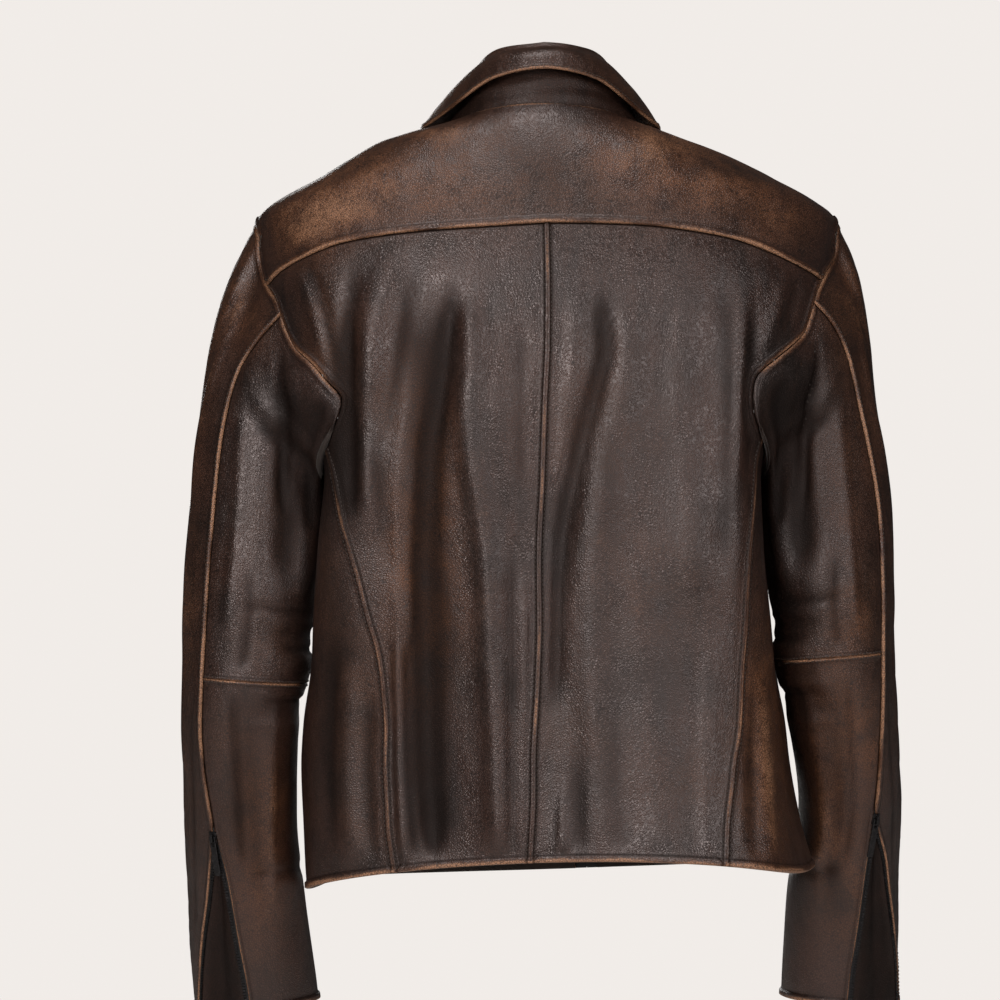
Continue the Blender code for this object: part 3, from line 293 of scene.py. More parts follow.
FRONT_PATCHES = (
    (0.120, -0.130, 0.060, 0.040, 0.60, 0.28, 0.0), (-0.125, -0.130, 0.060, 0.040, 0.60, 0.28, 0.0),
    (0.070, -0.300, 0.050, 0.080, 0.35, 0.10, 0.0), (-0.090, -0.330, 0.050, 0.090, 0.40, 0.12, 0.0),
    (0.120, -0.540, 0.060, 0.060, 0.60, 0.20, 0.0), (-0.130, -0.560, 0.060, 0.060, 0.65, 0.22, 0.0),
    (0.180, -0.400, 0.030, 0.070, 0.30, 0.06, 0.0), (-0.180, -0.380, 0.030, 0.070, 0.30, 0.06, 0.0),
)
# Patches of each sleeve: angle, s, half reach in angle, half reach in s, warm, worn, dark, the dark being painted
# shade
SLEEVE_PATCHES = {
    "left": (
        (30, 0.06, 40, 0.07, 0.55, 0.30, 0.0), (14, 0.22, 26, 0.14, 0.45, 0.20, 0.0),
        (96, 0.34, 26, 0.10, 0.20, 0.03, 0.0), (26, 0.50, 20, 0.12, 0.45, 0.16, 0.0),
        (112, 0.12, 22, 0.10, 0.00, 0.00, 0.55), (110, 0.52, 30, 0.06, 0.30, 0.10, 0.0),
        (122, 0.30, 18, 0.16, 0.00, 0.00, 0.45), (80, 0.80, 40, 0.14, 0.10, 0.00, 0.22),
        (120, 0.76, 30, 0.07, 0.80, 0.24, 0.0), (104, 0.88, 34, 0.08, 0.65, 0.22, 0.0),
        (90, 0.66, 26, 0.05, 0.30, 0.05, 0.0), (20, 0.80, 26, 0.12, 0.30, 0.12, 0.0),
        (300, 0.30, 60, 0.16, 0.35, 0.12, 0.0), (290, 0.74, 60, 0.14, 0.50, 0.18, 0.0),
        (200, 0.60, 40, 0.20, 0.30, 0.05, 0.1), (160, 0.16, 22, 0.14, 0.00, 0.00, 0.90),
    ),
    "right": (
        (26, 0.06, 40, 0.07, 0.50, 0.26, 0.0), (40, 0.20, 26, 0.12, 0.40, 0.14, 0.0),
        (74, 0.50, 24, 0.05, 0.90, 0.30, 0.0), (96, 0.63, 34, 0.10, 0.75, 0.20, 0.0),
        (66, 0.68, 20, 0.06, 0.55, 0.14, 0.0), (118, 0.80, 30, 0.10, 0.90, 0.30, 0.0),
        (84, 0.88, 26, 0.08, 0.60, 0.16, 0.0), (112, 0.12, 22, 0.10, 0.00, 0.00, 0.55),
        (122, 0.30, 20, 0.18, 0.00, 0.00, 0.50), (84, 0.30, 40, 0.18, 0.15, 0.00, 0.26),
        (70, 0.34, 20, 0.12, 0.25, 0.05, 0.0), (14, 0.50, 20, 0.16, 0.35, 0.14, 0.0),
        (300, 0.30, 60, 0.16, 0.35, 0.12, 0.0), (290, 0.74, 60, 0.14, 0.50, 0.18, 0.0),
        (200, 0.60, 40, 0.20, 0.30, 0.05, 0.1), (160, 0.16, 22, 0.14, 0.00, 0.00, 0.90),
    ),
}
# How each seam is made, in mm: lip height, lip width, stitch line, groove; how the edge lies; then rub on
# the lip, rub at the edge, dirt and painted shade beside it and warm colour
SeamStyle = namedtuple("SeamStyle", "high wide stitched groove edge lip_rub edge_rub dirt warm")
OPEN, TURNED, UNDER = range(3)
SEAM_STYLES = {
    "yoke over": SeamStyle(1.6, 4.4, 5.6, 0.60, TURNED, 0.58, 0.85, 0.35, 0.80),
    "tucked under": SeamStyle(0.0, 2.0, 0.0, 0.0, UNDER, 0.0, 0.0, 1.00, 0.0),
    "neck": SeamStyle(0.6, 2.0, 0.0, 0.30, OPEN, 0.55, 0.45, 0.40, 0.40),
    "welt": SeamStyle(1.6, 1.8, 3.0, 0.80, OPEN, 0.46, 0.10, 0.95, 0.30),
    "princess": SeamStyle(1.3, 1.9, 3.0, 0.75, OPEN, 0.46, 0.15, 0.85, 0.60),
    "low welt": SeamStyle(1.0, 1.8, 2.9, 0.65, OPEN, 0.22, 0.12, 0.85, 0.40),
    "armhole body": SeamStyle(2.0, 4.8, 6.2, 0.80, TURNED, 0.60, 0.20, 0.60, 1.00),
    "armhole sleeve": SeamStyle(1.5, 4.4, 0.0, 0.60, TURNED, 0.58, 0.20, 0.60, 1.00),
    "armhole under": SeamStyle(0.2, 2.4, 0.0, 0.30, OPEN, 0.05, 0.0, 1.00, 0.10),
    "sleeve over": SeamStyle(1.7, 3.0, 4.6, 0.55, TURNED, 0.58, 0.70, 0.35, 0.80),
    "elbow above": SeamStyle(0.7, 2.2, 3.2, 0.40, TURNED, 0.22, 0.20, 0.55, 0.40),
    "elbow below": SeamStyle(0.8, 2.6, 3.6, 0.40, TURNED, 0.46, 0.35, 0.40, 0.70),
    "hem": SeamStyle(1.8, 5.0, 6.6, 0.90, TURNED, 0.80, 0.95, 0.70, 1.00),
    "zip edge": SeamStyle(0.9, 4.6, 5.8, 0.45, TURNED, 0.40, 0.50, 0.30, 0.60),
    "cuff zip edge": SeamStyle(0.9, 1.8, 3.6, 0.50, TURNED, 0.55, 0.95, 0.45, 0.80),
    "collar edge": SeamStyle(0.8, 3.4, 4.6, 0.55, TURNED, 0.45, 0.90, 0.40, 0.85),
}
# Mesh lines beside the edge of a panel, by their distance from it
BORDER = np.array((0, 0.4, 0.9, 1.5, 2.2, 2.9, 3.6, 4.3, 5.0, 5.8, 6.7, 7.6, 8.3, 9.0, 9.7, 10.6, 12.0)) * 0.001
# Lattice on which a sleeve is read: first and last angle, columns and rows
LATTICE_FIRST, LATTICE_LAST, LATTICE_COLUMNS, LATTICE_ROWS = -4, 364, 185, 151
NUDGE = 1e-4  # step for differences, in radians or in v
STITCH_REACH = 0.0032  # a stitch farther than this from its leather is left out
# A stitch: sides of the thread, and its rings as place along it, width and lift
THREAD_SIDES = 5
STITCH_RINGS = ((-1.0, 0.25, -0.6), (-0.6, 1.0, 0.25), (0.6, 1.0, 0.25), (1.0, 0.25, -0.6))
# A zip tooth: pairs of corners inward from the tape, half length in pitches and height; then its faces
TOOTH_PAIRS = ((-0.0019, 0.36, -0.0004), (-0.0019, 0.36, 0.0011), (0.0004, 0.30, 0.0015),
               (0.0012, 0.20, 0.0011), (0.0012, 0.20, -0.0004))
TOOTH_FACES = ((0, 1, 3, 2), (2, 3, 5, 4), (4, 5, 7, 6), (6, 7, 9, 8), (8, 9, 1, 0), (0, 2, 6, 8), (1, 9, 7, 3))
TAPE_THICK = 0.0010
# Slider and pull as filled cells between lines across, down and outward; a pull's last line is its length
SLIDER_LINES = ((-0.0034, -0.0009, 0.0009, 0.0034), (-0.0050, -0.0042, -0.0026, 0.0026, 0.0042, 0.0050),
                (0.0005, 0.0024, 0.0046, 0.0056))
SLIDER_CELLS = (((0, 3), (0, 5), (0, 1)), ((1, 2), (1, 2), (1, 2)), ((1, 2), (3, 4), (1, 2)),
                ((1, 2), (1, 4), (2, 3)))
PULL_ACROSS, PULL_DOWN, PULL_OUT = (-0.0030, -0.0016, 0.0016, 0.0030), (-0.0006, 0.0006, 0.0080), (0.0029, 0.0041)
PULL_CELLS = (((0, 3), (0, 1), (0, 1)), ((0, 1), (1, 2), (0, 1)), ((2, 3), (1, 2), (0, 1)),
              ((0, 3), (2, 3), (0, 1)))
ROUND_OVER = 0.0004  # radius of the metal's edges
FRONT_PULL, CUFF_PULL = 0.040, 0.036
FRONT_SLIDER_V, CUFF_SLIDER_BELOW = 0.965, 0.012  # v of the front slider, s of a cuff slider below the zip's top
PULL_BODIES = {"cuff_pull_left": "pull_cuff_left", "cuff_pull_right": "pull_cuff_right", "front_pull": "pull_front"}
# Collar by degrees round the neck: height, half width and half depth of its roll, then the fall's resting place
ROLL_TURNS = (0, 40, 90, 130, 172)
ROLL_HIGH = (0.0775, 0.0740, 0.0510, 0.0040, -0.0440)
ROLL_WIDE = (0.0560, 0.0560, 0.0580, 0.0620, 0.0560)
ROLL_DEEP = (0.0640, 0.0640, 0.0640, 0.0720, 0.0860)
STAND_ROWS, FALL_ROWS = 42, 80
LEATHER_FINISHES = ("worn_leather", "leather_inside")
# Colours of the painted sheen on the grain's tops, of the painted shade in its gaps, and of dirt with painted shade
GRAIN_TOP_SHEEN, GRAIN_GAP_SHADE, SOIL_AND_SHADE = (0.120, 0.088, 0.076), (0.006, 0.0042, 0.0036), (0.006, 0.004, 0.0035)
TAPE_DUST = (0.05, 0.042, 0.036)
# Studio: where the lights aim, and each light's name, place, width, height, power and colour
AIM = (0.0, 0.0, -0.30)
LIGHTS = (
    ("key_light", (1.15, 3.2, 0.45), 1.1, 0.9, 62, (1.0, 0.985, 0.965)),
    ("fill_light", (-1.5, 3.0, 0.25), 1.0, 1.2, 30, (1.0, 0.99, 0.98)),
    ("top_light", (0.2, 1.0, 2.2), 1.4, 1.0, 36, (1.0, 0.99, 0.975)),
    ("front_light", (0.5, -3.0, 0.1), 1.6, 1.4, 34, (1.0, 0.99, 0.975)),
)
FLOOR_REACH, FLOOR_LEVEL, FLOOR_GLOW, AIR_LIGHT = 4.2, -1.46, 0.55, 0.055
CAMERA_PLACE, CAMERA_LENS = (0.0387, 3.22, -0.3225), 129.77


class JacketSizes(bpy.types.PropertyGroup):
    """Sizes of the leather, the sewing and the zips."""
    leather: FloatProperty(name="Leather", description="Thickness of the leather", default=0.0016,
                           unit="LENGTH", subtype="DISTANCE")
    mesh_step: FloatProperty(name="Mesh step", description="Distance between mesh lines in the middle of a panel",
                             default=0.0042, unit="LENGTH", subtype="DISTANCE")
    stitch: FloatProperty(name="Stitch", description="Length of one stitch", default=0.0028,
                          unit="LENGTH", subtype="DISTANCE")
    stitch_pitch: FloatProperty(name="Stitch pitch", description="Distance from stitch to stitch", default=0.0038,
                                unit="LENGTH", subtype="DISTANCE")
    thread: FloatProperty(name="Thread", description="Thickness of the thread", default=0.0008,
                          unit="LENGTH", subtype="DISTANCE")
    tooth_pitch: FloatProperty(name="Tooth pitch", description="Distance between teeth on one side of a zip",
                               default=0.0028, unit="LENGTH", subtype="DISTANCE")
    rumple: FloatProperty(name="Rumple", description="Height of the soft unevenness of the leather",
                          default=0.0011, unit="LENGTH", subtype="DISTANCE")


def colour_property(name, description, default):
    """A colour of the panel."""
    return FloatVectorProperty(name=name, description=description, default=default, subtype="COLOR",
                               size=3, min=0.0, max=1.0)


class JacketColours(bpy.types.PropertyGroup):
    """Colours of the finishes."""
    dark: colour_property("Dark", "Least worn leather", (0.0085, 0.0047, 0.0038))
    brown: colour_property("Brown", "Common leather", (0.0360, 0.0150, 0.0098))
    warm: colour_property("Warm", "Leather rubbed to orange brown", (0.110, 0.039, 0.0135))
    tan: colour_property("Tan", "Bare worn edges", (0.360, 0.178, 0.096))
    flesh: colour_property("Inside", "Inner side of the leather", (0.026, 0.016, 0.012))
    thread: colour_property("Thread", "Sewing thread", (0.020, 0.013, 0.010))
    tape: colour_property("Zip tape", "Woven tape of the zips", (0.012, 0.011, 0.012))
    metal: colour_property("Metal", "Darkened zip metal", (0.026, 0.025, 0.026))
    backdrop: colour_property("Backdrop", "Studio floor and air", (0.880, 0.840, 0.808))


def unit(vectors):
    """The same directions at length 1."""
    return vectors / np.maximum(np.linalg.norm(vectors, axis=-1, keepdims=True), 1e-12)


def bell(x):
    """1 at 0, falling softly to 0 on both sides."""
    return np.exp(-(x**2))


def way_along(path):
    """Distance along a path at each of its points."""
    return np.concatenate([[0], np.cumsum(np.linalg.norm(np.diff(path, axis=0), axis=1))])


def read_along(at, along, values):
    """Values given at the distances along, read at other distances."""
    return np.stack([np.interp(at, along, column) for column in values.T], axis=-1)


def hermite(t, start, leave, end, arrive):
    """Cubic from start to end with its slopes there, t from 0 to 1."""
    return ((2 * t**3 - 3 * t**2 + 1) * start + (t**3 - 2 * t**2 + t) * leave
            + (3 * t**2 - 2 * t**3) * end + (t**3 - t**2) * arrive)


def smooth(xs, ys, x):
    """Monotone cubic through the points xs, ys, at x; ys may hold several columns."""
    xs, ys, x = np.asarray(xs, float), np.asarray(ys, float), np.clip(np.asarray(x, float), xs[0], xs[-1])
    if ys.ndim == 1:
        return smooth(xs, ys[:, None], x)[..., 0]
    h = np.diff(xs)[:, None]
    d = np.diff(ys, axis=0) / h
    m = np.zeros_like(ys)
    w1, w2 = 2 * h[1:] + h[:-1], h[1:] + 2 * h[:-1]
    same = d[:-1] * d[1:] > 0
    safe = np.where(same, d[:-1] * d[1:], 1.0)
    m[1:-1] = np.where(same, (w1 + w2) * safe / (w1 * np.where(same, d[1:], 1) + w2 * np.where(same, d[:-1], 1)), 0)
    m[0], m[-1] = d[0], d[-1]
    i = np.clip(np.searchsorted(xs, x, side="right") - 1, 0, len(xs) - 2)
    step = (xs[i + 1] - xs[i])[..., None]
    return hermite((x - xs[i])[..., None] / step, ys[i], step * m[i], ys[i + 1], step * m[i + 1])


def curve(points, n):
    """n + 1 points along a smooth curve through the given ones, evenly by length."""
    points = np.asarray(points, float)
    along = way_along(points)
    return smooth(along, points, np.linspace(0, along[-1], n + 1))


def ease(x, low, high):
    """0 up to low, 1 from high on, soft between."""
    t = np.clip((x - low) / (high - low), 0, 1)
    return t * t * (3 - 2 * t)


def window(x, low, high, soft):
    """1 between low and high, falling to 0 over soft on both sides."""
    return ease(x, low - soft / 2, low + soft / 2) * (1 - ease(x, high - soft / 2, high + soft / 2))


def crease(p, q, path, width, height, soft):
    """Height of a fold that runs along q, its middle p given by the path's (p, q) pairs."""
    path = np.asarray(path, float)
    path = path[np.argsort(path[:, 1])]
    middle = smooth(path[:, 1], path[:, 0], q)
    return height * bell((p - middle) / width) * window(q, path[0, 1], path[-1, 1], soft)


def fold_marks(height, ridge, valley, deepest):
    """Worn, warm and dark amounts of main folds: warm on the ridges, painted shade in the valleys."""
    return np.stack([np.zeros_like(height), np.clip(height / ridge, 0, 1) * 0.12,
                     np.clip(-height / valley, 0, 1) * deepest], axis=-1)


def rumple(p, size, seed):
    """Soft random swelling from -1 to 1; size is the distance between swellings on each axis."""
    q = p / np.asarray(size) + seed * 7.31
    cell = np.floor(q)
    f = q - cell
    f = f * f * (3 - 2 * f)
    total = np.zeros(p.shape[:-1])
    for step in np.ndindex(2, 2, 2):
        at = cell + step
        value = np.sin(at[..., 0] * 127.1 + at[..., 1] * 311.7 + at[..., 2] * 74.7 + seed * 17.3) * 43758.5453
        weight = np.prod(np.where(np.array(step), f, 1 - f), axis=-1)
        total = total + weight * (value - np.floor(value))
    return total * 2 - 1


def torso_plain(u, v):
    """Point of the body at u radians round from the middle of the back and v from hem to neck."""
    u, v = np.broadcast_arrays(np.asarray(u, float), np.asarray(v, float))
    rings = np.array(TORSO)
    z_back, z_side, z_front, a, b_back, b_front, middle, twist, e, tilt = np.moveaxis(
        smooth(rings[:, 0], rings[:, 1:], v), -1, 0)
    c = np.cos(u)
    x = a * (np.sin(u) + e * np.sin(3 * u)) / (1 - e)
    y = np.where(c > 0, b_back, b_front) * (c - e * np.cos(3 * u)) / (1 - e)
    z = z_side + (z_back - z_side) * np.clip(c, 0, 1) ** 2 + (z_front - z_side) * np.clip(-c, 0, 1) ** 2
    t = np.radians(twist)
    x, y = x * np.cos(t) + y * np.sin(t), y * np.cos(t) - x * np.sin(t)
    return np.stack([middle + x, y, z + tilt * x], axis=-1)


def facing(surface, a, b, sign):
    """Unit normal of a surface, by differences."""
    da = surface(a + NUDGE, b) - surface(a - NUDGE, b)
    db = surface(a, np.clip(b + NUDGE, 0, 1)) - surface(a, np.clip(b - NUDGE, 0, 1))
    return unit(np.cross(db, da) * sign)


def body_folds(u, p, back, front, soft):
    """Height of the folds of the back and the front at the points p."""
    height = np.zeros(p.shape[:-1])
    c = np.broadcast_to(np.cos(u), height.shape)
    for folds, side in ((back, c), (front, -c)):
        for path, width, high in folds:
            height = height + crease(p[..., 0], p[..., 2], path, width, high, soft) * np.clip(side * 4, 0, 1)
    return height


def torso(u, v):
    """The body's outer face with its main folds."""
    p = torso_plain(u, v)
    height = body_folds(u, p, BACK_FOLDS, FRONT_FOLDS, 0.06)
    for z, y, deep, high, which in ARM_DENTS:
        side = np.sin(u) * which if which else np.abs(np.sin(u))
        side = np.clip(side * 3 - 1.6, 0, 1)
        height = height - deep * side * bell((p[..., 2] - z) / high) * bell((p[..., 1] - y) / DENT_REACH)
    return p + height[..., None] * facing(torso_plain, u, v, 1)


def locate(x, z):
    """u, v of the body's point seen at x, z on the back half."""
    u, v = np.meshgrid(np.radians(np.linspace(-100, 100, 81)), np.linspace(0, 1, 81))
    p = torso_plain(u, v)
    best = np.unravel_index(np.argmin((p[..., 0] - x) ** 2 + (p[..., 2] - z) ** 2), u.shape)
    at = np.array([u[best], v[best]])
    for _ in range(12):
        here = torso_plain(at[0], at[1])[[0, 2]]
        du = (torso_plain(at[0] + NUDGE, at[1])[[0, 2]] - here) / NUDGE
        dv = (torso_plain(at[0], at[1] + NUDGE)[[0, 2]] - here) / NUDGE
        step = np.linalg.lstsq(np.stack([du, dv], axis=1), np.array([x, z]) - here, rcond=None)[0]
        at = at + np.clip(step, -0.05, 0.05)
        at[1] = min(max(at[1], 0.0), 1.0)
    return at


def armhole(side, angle):
    """u, v of the body at an angle round the armhole."""
    table = np.array(ARMHOLES[side], float)
    angle = np.mod(angle, 360)
    wrapped = np.concatenate([table[-3:] - [360, 0, 0], table, table[:3] + [360, 0, 0]])
    uv = smooth(wrapped[:, 0], wrapped[:, 1:], angle)
    sign = 1 if side == "left" else -1
    return sign * np.radians(uv[..., 0]), uv[..., 1]


def sleeve_plain(side, angle, s):
    """Point of a sleeve at an angle round it and s from the armhole to the cuff."""
    angle, s = np.broadcast_arrays(np.asarray(angle, float), np.asarray(s, float))
    sign = 1 if side == "left" else -1
    rings = np.array(SLEEVES[side])
    cap = rings[0, 0]

    def ring(at):
        x, y, z, wide, deep, tilt = np.moveaxis(smooth(rings[:, 0], rings[:, 1:], at), -1, 0)
        f, t = np.radians(angle), np.radians(tilt)
        out = wide * np.cos(f)
        return np.stack([x + sign * out * np.cos(t), y + deep * np.sin(f), z + out * np.sin(t)], axis=-1)

    # The leather leaves the armhole outwards at the shoulder and down along the body under the arm
    hole = armhole(side, angle)
    away = facing(torso_plain, *hole, 1)
    end = ring(np.full_like(s, cap))
    run = (ring(np.full_like(s, cap + 0.01)) - end) / 0.01 * cap
    f = np.radians(angle)
    outer = (1 + np.cos(f)) / 2
    leave = np.stack([sign * (0.12 + 0.43 * outer), -0.22 * outer * np.sin(f), -0.95 + 0.10 * outer], axis=-1)
    leave = leave + away * (0.60 * (1 - outer))[..., None]
    rim = torso(*armhole(side, angle + 0.5)) - torso(*armhole(side, angle - 0.5))
    across = unit(np.cross(rim, away) * sign)
    start = torso(*hole) + away * (0.0010 * (1 - outer))[..., None] + across * 0.0004
    far = np.linalg.norm(end - start, axis=-1, keepdims=True)
    leave = unit(leave) * far * (0.8 + 0.3 * outer)[..., None]
    pace = np.linalg.norm(run, axis=-1, keepdims=True)
    run = run * np.minimum(pace, 1.1 * far) / pace
    high = hermite(np.clip(s / cap, 0, 1)[..., None], start, leave, end, run)
    return np.where((s < cap)[..., None], high, ring(np.maximum(s, cap)))


def grid_normals(points, sign=1.0):
    """Unit normals of a grid of points."""
    return unit(np.cross(np.gradient(points, axis=0), np.gradient(points, axis=1)) * sign)


def tucks(around, s, folds, soft):
    """Height of folds across a sleeve, each s, middle angle, half reach, half width in s and height."""
    return sum(high * window(around, middle - reach, middle + reach, soft) * bell((s - at) / width)
               for at, middle, reach, width, high in folds)


def sleeve_lattice(side):
    """Points, normals and fold heights of the whole sleeve on a fine lattice of angle and s."""
    angle, s = np.meshgrid(np.linspace(LATTICE_FIRST, LATTICE_LAST, LATTICE_COLUMNS),
                           np.linspace(0, 1, LATTICE_ROWS))
    plain = sleeve_plain(side, angle, s)
    sign = 1.0 if side == "left" else -1.0
    around = np.mod(angle, 360)
    height = sum(crease(around, s, path, width, high, 0.08) for path, width, high in SLEEVE_FOLDS)
    height = (height + tucks(around, s, ELBOW_FOLDS, 60)) * np.clip(s / 0.08, 0, 1)
    points = plain + height[..., None] * grid_normals(plain, sign)
    return points, grid_normals(points, sign), height


def read_lattice(values, angle, s):
    """Smooth reading of a lattice between its lines, which goes on straight beyond the first and last row."""
    x = (np.mod(angle, 360) - LATTICE_FIRST) / (LATTICE_LAST - LATTICE_FIRST) * (LATTICE_COLUMNS - 1)
    y = np.clip(s, 0, 1) * (LATTICE_ROWS - 1)
    i = np.clip(np.floor(y).astype(int), 0, LATTICE_ROWS - 2)
    j = np.clip(np.floor(x).astype(int), 1, LATTICE_COLUMNS - 3)
    flat = values if values.ndim == 3 else values[..., None]

    def weights(f):
        return (-0.5 * f + f**2 - 0.5 * f**3, 1 - 2.5 * f**2 + 1.5 * f**3,
                0.5 * f + 2 * f**2 - 1.5 * f**3, -0.5 * f**2 + 0.5 * f**3)

    total = 0.0
    for a, wa in zip((-1, 0, 1, 2), weights(y - i)):
        row = np.clip(i + a, 0, LATTICE_ROWS - 1)
        for b, wb in zip((-1, 0, 1, 2), weights(x - j)):
            value = 2 * flat[row, j + b] - flat[2 * row - i - a, j + b]
            total = total + value * (wa * wb)[..., None]
    return total if values.ndim == 3 else total[..., 0]


def coons(bottom, top, left, right, reach=1.0):
    """Grid of parameters between four edges; the higher the reach, the less it follows the top edge."""
    s = np.linspace(0, 1, len(bottom))[None, :, None]
    t = np.linspace(0, 1, len(left))[:, None, None]
    low = bottom[None] - (1 - s) * bottom[0] - s * bottom[-1]
    high = top[None] - (1 - s) * top[0] - s * top[-1]
    return (1 - s) * left[:, None] + s * right[:, None] + (1 - t) * low + t**reach * high


def line(a, b, n):
    """n + 1 points on the straight line from a to b."""
    t = np.linspace(0, 1, n + 1)[:, None]
    return np.asarray(a, float) * (1 - t) + np.asarray(b, float) * t


def chain(*parts):
    """Paths joined end to end, each shared point once."""
    return np.concatenate([parts[0]] + [p[1:] for p in parts[1:]])


def respace(params, surface, axis, step):
    """Respace a grid's lines along one axis by real distance, close together at both edges."""
    grid = np.moveaxis(params, axis, 1)
    points = surface(grid[..., 0], grid[..., 1])
    steps = np.linalg.norm(np.diff(points, axis=1), axis=-1)
    lengths = np.concatenate([np.zeros((len(grid), 1)), np.cumsum(steps, axis=1)], axis=1)
    reach = BORDER[-1]
    count = max(int(round((lengths[:, -1].mean() - 2 * reach) / step)), 2)
    made = []
    for row, along in zip(grid, lengths):
        border = BORDER * min(1.0, along[-1] / (2.6 * reach))
        inner = np.linspace(border[-1], along[-1] - border[-1], count + 1)[1:-1]
        at = np.concatenate([border, inner, along[-1] - border[::-1]])
        made.append(read_along(at, along, row))
    return np.moveaxis(np.array(made), 1, axis)


def near_line(points, path):
    """Distance of each point from a path, and how far along the path it lies."""
    flat = points.reshape(-1, 3)
    a, run = path[:-1], np.diff(path, axis=0)
    size = np.sum(run**2, axis=1)
    start = way_along(path)
    best, along = np.full(len(flat), 1e9), np.zeros(len(flat))
    for i in range(len(a)):
        off = flat - a[i]
        t = np.clip(off @ run[i] / max(size[i], 1e-12), 0, 1)
        far = np.linalg.norm(off - t[:, None] * run[i], axis=1)
        closer = far < best
        best = np.where(closer, far, best)
        along = np.where(closer, start[i] + t * np.sqrt(size[i]), along)
    return best.reshape(points.shape[:-1]), along.reshape(points.shape[:-1])


def seam_relief(points, seams):
    """Height, rub, dirt with painted shade, and warm glow of a panel from the seams along its edges, and the distance
    to the nearest.
    """
    height, rub, dirt, glow = (np.zeros(points.shape[:-1]) for _ in range(4))
    nearest = np.full(points.shape[:-1], 1e9)
    for number, (name, path) in enumerate(seams):
        style = SEAM_STYLES[name]
        wide = style.wide
        far, along = near_line(points, path)
        mm = far * 1000
        lift = style.high * (1 - ease(mm, wide, wide + 3.5))
        if style.groove:
            lift = lift - style.groove * bell((mm - (style.stitched or wide + 1.2)) / 0.75)
        if style.edge == TURNED:
            lift = lift - (style.high * 0.9 + 0.35) * (1 - ease(mm, 0, 1.1)) ** 1.5
        if style.edge == UNDER:
            lift = lift - 1.3 * (1 - ease(mm, 0, 2.6))
        # The thread draws the leather into small puckers of two lengths
        pull = np.sin(along / 0.0105 * 2 * np.pi + 2.0 * np.sin(along * 61 + number)) * 0.6
        pull = pull + 0.6 * np.sin(along * 331 + number * 2.0)
        reach = max(wide, 2.0)
        lift = lift + 0.16 * pull * ease(mm, reach * 0.4, reach + 1.0) * np.exp(-mm / (reach + 5.0)) * 2.0
        # The rub wanders along the seam
        wander = 0.62 + 0.36 * np.sin(along * 31 + number * 1.7) + 0.30 * np.sin(along * 97 + number)
        on_lip = bell(np.maximum(mm - wide * 0.35, 0) / (wide * 0.50))
        at_edge = 0.0 if style.edge == UNDER else style.edge_rub * bell(mm / 1.3)
        # Painted shade under a tucked seam; beside a stitched seam, dirt and painted shade along the stitches and in
        # the hollow beside the lip
        if style.edge == UNDER:
            soil_and_shade = style.dirt * bell(mm / 2.4)
        else:
            soil_and_shade = style.dirt * (bell(mm - style.stitched) * 0.6
                                 + 0.35 * bell(np.maximum(mm - wide, 0) / 4.0) * (mm > wide))
        height = np.where(far < nearest, lift, height)
        nearest = np.minimum(far, nearest)
        rub = np.maximum(rub, np.clip(style.lip_rub * on_lip * wander + at_edge * (0.4 + 0.6 * wander), 0, 1))
        glow = np.maximum(glow, style.warm * on_lip * (0.6 + 0.4 * wander))
        dirt = np.maximum(dirt, soil_and_shade)
    return height / 1000, rub, dirt, glow, nearest


def patch_marks(a, b, patches):
    """Warm, worn and dark amounts at a, b from listed patches; the dark is mostly painted shade."""
    marks = np.zeros(a.shape + (3,))
    for x, y, wide, high, *amounts in patches:
        near = bell((a - x) / wide) * bell((b - y) / high)
        marks = marks + near[..., None] * np.array(amounts)
    return marks


